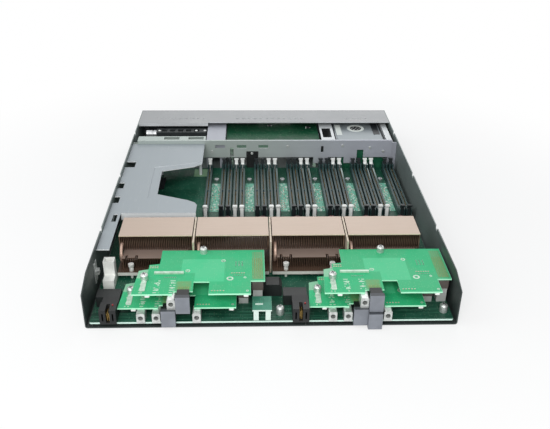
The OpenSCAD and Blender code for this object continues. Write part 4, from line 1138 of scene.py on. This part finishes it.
@dataclass
class Heatsinks:
    """Springs on the screws of the four heatsinks."""

    server: BladeServer
    screw_half: float = 26 * MM
    head: float = 3.2 * MM
    base: float = 4 * MM
    lift: float = 2 * MM

    def build(self) -> None:
        """Winds a spring round each screw."""
        low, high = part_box("heatsink_screws")
        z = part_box("heatsink_1")[0].z + self.base + self.lift
        places = []
        for number in range(1, 5):
            sink_low, sink_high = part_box(f"heatsink_{number}")
            middle = (sink_low.x + sink_high.x) / 2
            places += [at(middle + side * self.screw_half, y, z)
                       for side in (-1, 1) for y in (low.y + self.head, high.y - self.head)]
        self.server.place(SpringCoil().build(), places, "heatsink_springs", "spring_white")


@dataclass
class MemoryContacts:
    """Rows of gilt contacts along both walls of each memory socket."""

    server: BladeServer
    pitch: float = 1.27 * MM
    half_groove: float = 0.62 * MM
    half_length: float = 64 * MM
    key_from: float = 7.0 * MM
    key_to: float = 4.0 * MM
    lift: float = 2.2 * MM
    tooth: tuple[float, float, float] = (0.22 * MM, 0.6 * MM, 5.6 * MM)

    def build(self) -> None:
        """Lays the contacts into the sockets on both sides of the board."""
        low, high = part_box("dimm_sockets_right")
        middle = (low.y + high.y) / 2
        rows = []
        for start, stop in ((-self.half_length, -self.key_from), (-self.key_to, self.half_length)):
            for side in (-1, 1):
                one = brick(Vector(self.tooth), 0.02 * MM, "tooth")
                one.location = (side * self.half_groove, middle + start, low.z + self.lift)
                count = int((stop - start) / self.pitch)
                rows.append(row(settle(one, "tooth"), count, Vector((0, self.pitch, 0))))
        layout = self.server.layout
        places = [at(x, 0, 0) for x in layout.white_sockets() + layout.black_sockets()]
        self.server.place(merge(rows, "contacts"), places, "memory_contacts", "gold", "dimm_black")


@dataclass
class StripParts:
    """Capacitors and resistors in columns on the strips between the memory banks."""

    server: BladeServer
    columns: tuple[float, ...] = (-3.6 * MM, 0.2 * MM, 3.9 * MM)
    pitch: float = 6.2 * MM
    count: int = 11
    margin: float = 26 * MM
    seed: int = 7
    tan_share: float = 0.5
    used_share: float = 0.75

    def build(self) -> None:
        """Places the parts."""
        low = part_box("dimm_sockets_right")[0]
        dice = random.Random(self.seed)
        first = low.y + self.margin
        parts = {"ceramic_tan": EndCapPart(2.0 * MM, 1.25 * MM, 1.0 * MM),
                 "chip_black": EndCapPart(1.6 * MM, 0.8 * MM, 0.5 * MM)}
        for slot, part in parts.items():
            places = []
            for x in self.server.layout.strips():
                for column in self.columns:
                    for i in range(self.count):
                        tan = dice.random() < self.tan_share
                        if tan == (slot == "ceramic_tan") and dice.random() < self.used_share:
                            turn = Matrix.Rotation(dice.choice((0, math.pi / 2)), 4, "Z")
                            places.append(at(x + column, first + i * self.pitch, low.z) @ turn)
            self.server.place(part.body(), places, f"strip_{slot}_bodies", slot, "board_green")
            self.server.place(part.ends(), places, f"strip_{slot}_ends", "nickel", "board_green")


@dataclass
class Mezzanine:
    """Small parts of one mezzanine card, in millimetres from its middle and the rear edge.

    Each row of rings has the inner and outer radius, the height, the corners and the places. Each
    row of fields has the pins across and along, the pitch and the first pin's place. Each group of
    parts has its first place, how many across and along, and the two pitches.
    """

    server: BladeServer
    node: str
    rings: tuple = ((1.25, 2.1, 0.12, 20, ((-20.3, 26), (-20.5, 15))),
                    (1.75, 2.5, 0.12, 20, ((9, 49.4), (46.3, 68.5))),
                    (1.9, 3.6, 0.15, 28, ((54.2, 34.2),)),
                    (0.7, 1.5, 0.12, 16, ((-5.4, 27), (-5.0, 18), (-37.2, 25), (-37, 16), (70, 36),
                                          (72.5, 12))))
    fields: tuple = ((6, 20, 2.0, (78.3, 34)), (6, 4, 1.9, (2.2, 13.4)))
    clips: tuple = ((-29.5, 8.9), (71.1, 8.9))
    clip_size: tuple = (5.2, 3.4, 3.2)
    groups: tuple = (
        ("ceramic_tan", EndCapPart(1.6 * MM, 0.8 * MM, 0.7 * MM),
         ((56, 44, 6, 1, 2.6, 3.2), (-31, 55, 4, 2, 2.4, 3.0), (36, 12, 5, 1, 3.0, 2.6))),
        ("chip_black", EndCapPart(1.3 * MM, 0.7 * MM, 0.4 * MM),
         ((58, 40, 5, 1, 2.6, 2.4), (-14, 37, 6, 1, 2.2, 2.4), (60, 58, 3, 4, 3.4, 2.6))))

    def spot(self, x: float, y: float, under: bool = False) -> Matrix:
        """A place on the card, or on its underside."""
        low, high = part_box(self.node)
        layout = self.server.layout
        return at(layout.card_middle(self.node) + x * MM, layout.rear + y * MM,
                  low.z if under else high.z)

    def build(self) -> None:
        """Adds everything that sits on the card."""
        self.ring_pads()
        self.pin_fields()
        self.edge_clips()
        self.rows_of_parts()

    def ring_pads(self) -> None:
        """Tinned rings round the holes, and a wide one for a grounding screw."""
        made = []
        for inner, outer, height, sides, places in self.rings:
            ring = washer(inner * MM, outer * MM, height * MM, "ring", sides)
            made.append(copies(ring, [self.spot(*place) for place in places], "rings"))
        self.server.add(merge(made, f"{self.node}_ring_pads"), "strap_pale", "card_green")

    def pin_fields(self) -> None:
        """Pins of the connectors underneath, which come up through the card."""
        made = []
        for across, along, pitch, corner in self.fields:
            pin = brick(Vector((0.5, 0.5, 0.55)) * MM, 0.1 * MM, "pin")
            line = row(pin, across, Vector((pitch * MM, 0, 0)))
            grid = row(line, along, Vector((0, pitch * MM, 0)))
            made.append(copies(grid, [self.spot(*corner)], "pins"))
        self.server.add(merge(made, f"{self.node}_pins"), "gold", "card_green")

    def edge_clips(self) -> None:
        """White clips that hold the near edge from below."""
        clip = brick(Vector(self.clip_size) * MM, 1.0 * MM, "clip")
        places = [self.spot(*place, under=True) @ at(0, 0, -self.clip_size[2] * MM)
                  for place in self.clips]
        self.server.place(clip, places, f"{self.node}_edge_clips", "post_white", "card_green")

    def rows_of_parts(self) -> None:
        """Ordered groups of small capacitors and resistors."""
        for slot, part, blocks in self.groups:
            places = [self.spot(x + i * dx, y + j * dy) for x, y, across, along, dx, dy in blocks
                      for i in range(across) for j in range(along)]
            name = f"{self.node}_{slot}"
            self.server.place(part.body(), places, f"{name}_bodies", slot, "card_green")
            self.server.place(part.ends(), places, f"{name}_ends", "nickel", "card_green")


@dataclass
class ScrewHeads:
    """Round caps with a cross slot on the thumbscrews."""

    server: BladeServer
    cap_r: float = 3.3 * MM
    cap_h: float = 1.1 * MM
    far_screw: tuple[float, float] = (23.8 * MM, 85 * MM)
    near_screw: tuple[float, float] = (-35 * MM, 33 * MM)
    far_height: float = 6.5 * MM
    near_height: float = 7.1 * MM
    stud_height: float = 8.5 * MM
    slot_angle: float = 0.5

    def spots(self) -> list[tuple[float, float, float]]:
        """Where the shanks end: three on each pair of cards and two on the board."""
        layout = self.server.layout
        spots = []
        for side in ("left", "right"):
            upper, lower = f"mezz_card_upper_{side}", f"mezz_card_lower_{side}"
            for node, (x, y), height in ((upper, self.far_screw, self.far_height),
                                         (upper, self.near_screw, self.near_height),
                                         (lower, self.near_screw, self.near_height)):
                spots.append((layout.card_middle(node) + x, layout.rear + y,
                              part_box(node)[1].z + height))
        stud_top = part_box("system_board")[1].z + self.stud_height
        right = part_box("base_tray")[1].x
        return spots + [(8 * MM, layout.rear + 14 * MM, stud_top),
                        (right - 12 * MM, layout.rear + 15 * MM, stud_top)]

    def build(self) -> None:
        """Caps every thumbscrew of the cards and the two big ones on the board."""
        spots = self.spots()
        cap = dome(self.cap_r, self.cap_h, "cap")
        self.server.place(cap, [at(*spot) for spot in spots], "thumbscrew_caps", "nickel")
        slot = brick(Vector((4.2, 0.8, 0.5)) * MM, 0.1 * MM, "slot")
        places = [at(x, y, z + self.cap_h - 0.32 * MM) @ Matrix.Rotation(angle, 4, "Z")
                  for x, y, z in spots for angle in (self.slot_angle, self.slot_angle + math.pi / 2)]
        self.server.place(slot, places, "thumbscrew_slots", "chip_black", "nickel")


@dataclass
class FrontBay:
    """Dressing of the drives, the cross member and the control board."""

    server: BladeServer
    hub_shift: float = 1.5 * MM
    hub_back: float = 40 * MM
    hub_screw_circle: float = 5.6 * MM
    member_places: tuple = ((-78, 33), (-20, 30), (32, 41), (112, 42), (152, 39), (172, 33))
    link_z: float = 0.0428

    def drive_dressing(self, level: str) -> None:
        """Spindle ring, hub, blank label and a dark strip along the right side of one drive."""
        low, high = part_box(f"hard_drive_{level}")
        x = (low.x + high.x) / 2 - self.hub_shift
        y = high.y - self.hub_back
        screw_z = high.z + 0.3 * MM
        screws = [at(x, y, screw_z)] + [
            at(x + self.hub_screw_circle * math.cos(a), y + self.hub_screw_circle * math.sin(a), screw_z)
            for a in (i * math.pi / 3 for i in range(6))]
        dressing = (
            ("ring", "label_pale", lambda: washer(8.6 * MM, 13.0 * MM, 0.5 * MM, "ring", 48),
             [at(x, y, high.z)]),
            ("hub", "chip_black", lambda: disc(8.5 * MM, 0.35 * MM, "hub", 40), [at(x, y, high.z)]),
            ("hub_screws", "nickel", lambda: disc(1.1 * MM, 0.5 * MM, "screw", 12), screws),
            ("blank_label", "label_pale", lambda: brick(Vector((8.5, 40, 0.3)) * MM, 0.1 * MM, "plate"),
             [at(low.x + 6.2 * MM, y - 5 * MM, high.z)]),
            # a dark strip laid along the right side of the drive's top
            ("pad", "chip_black", lambda: brick(Vector((9.5, 42, 0.4)) * MM, 0.15 * MM, "pad"),
             [at(high.x - 7 * MM, y - 2 * MM, high.z)]))
        for name, slot, pattern, places in dressing:
            self.server.place(pattern(), places, f"drive_{level}_{name}", slot, "drive_alloy",
                              f"drive_{level}")

    def member_screws(self) -> None:
        """Round screws on the face of the cross member."""
        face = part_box("cross_member")[0].y
        turn = Matrix.Rotation(math.pi / 2, 4, "X")
        self.server.place(disc(1.9 * MM, 1.0 * MM, "screw", 16),
                          [at(x * MM, face, z * MM) @ turn for x, z in self.member_places],
                          "member_screws", "nickel", "member_steel")

    def control_parts(self) -> None:
        """A header and two chips on the raised board."""
        low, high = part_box("control_board")
        top = high.z
        self.server.place(brick(Vector((34, 5, 5)) * MM, 0.3 * MM, "header"),
                          [at(low.x + 30 * MM, high.y - 5 * MM, top)], "control_header", "chip_black",
                          "control_green")
        chips = ((FlatChip(5 * MM, 6 * MM), at(high.x - 14 * MM, high.y - 22 * MM, top)),
                 (FlatChip(4 * MM, 5 * MM), at(low.x + 66 * MM, high.y - 14 * MM, top)))
        bodies = merge([copies(chip.body(), [spot], "body") for chip, spot in chips], "control_chips")
        legs = merge([copies(chip.legs(), [spot], "legs") for chip, spot in chips], "control_chip_legs")
        self.server.add(bodies, "chip_black", "control_green")
        self.server.add(legs, "nickel", "control_green")

    def link_pins(self) -> None:
        """Bright pins through the ends of the link behind the handle."""
        low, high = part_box("handle_pocket")
        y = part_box("cross_member")[0].y + 55 * MM
        columns = (high.x - 4 * MM, high.x - 17 * MM, low.x + 23 * MM)
        self.server.place(dome(2.2 * MM, 1.2 * MM, "pin"), [at(x, y, self.link_z) for x in columns],
                          "link_pins", "nickel", "pocket_plastic")

    def build(self) -> None:
        """Dresses the whole front bay."""
        for level in ("upper", "lower"):
            self.drive_dressing(level)
        self.member_screws()
        self.control_parts()
        self.link_pins()


@dataclass
class RearConnectors:
    """Red keys and contact blades in the power connectors."""

    server: BladeServer
    from_end: float = 8.5 * MM
    key_shift: float = 4.5 * MM
    blade_half: float = 0.9 * MM
    blade_lift: float = 2.2 * MM

    def build(self) -> None:
        """Adds the keys and blades."""
        low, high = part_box("power_connectors")
        rear = self.server.layout.rear
        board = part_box("system_board")[1].z
        middles = [low.x + self.from_end, high.x - self.from_end]
        self.server.place(brick(Vector((1.6, 2.0, 1.8)) * MM, 0.3 * MM, "key"),
                          [at(x + self.key_shift, rear + 8 * MM, high.z - 0.9 * MM) for x in middles],
                          "power_keys", "key_red", "housing_black")
        self.server.place(brick(Vector((0.8, 9, 9)) * MM, 0.2 * MM, "blade"),
                          [at(x + side * self.blade_half, rear + 5.5 * MM, board + self.blade_lift)
                           for x in middles for side in (-1, 1)],
                          "power_blades", "gold", "housing_black")


def main() -> None:
    """Builds the studio and the part, in order."""
    logging.basicConfig(level=logging.INFO, format="%(name)s: %(message)s")
    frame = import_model()
    Studio().build()
    server = BladeServer(frame)
    server.finish_nodes()
    for assembly in (Heatsinks, MemoryContacts, StripParts):
        assembly(server).build()
    for side in ("left", "right"):
        for level in ("upper", "lower"):
            Mezzanine(server, f"mezz_card_{level}_{side}").build()
    for assembly in (ScrewHeads, FrontBay, RearConnectors):
        assembly(server).build()


if __name__ == "__main__":
    main()
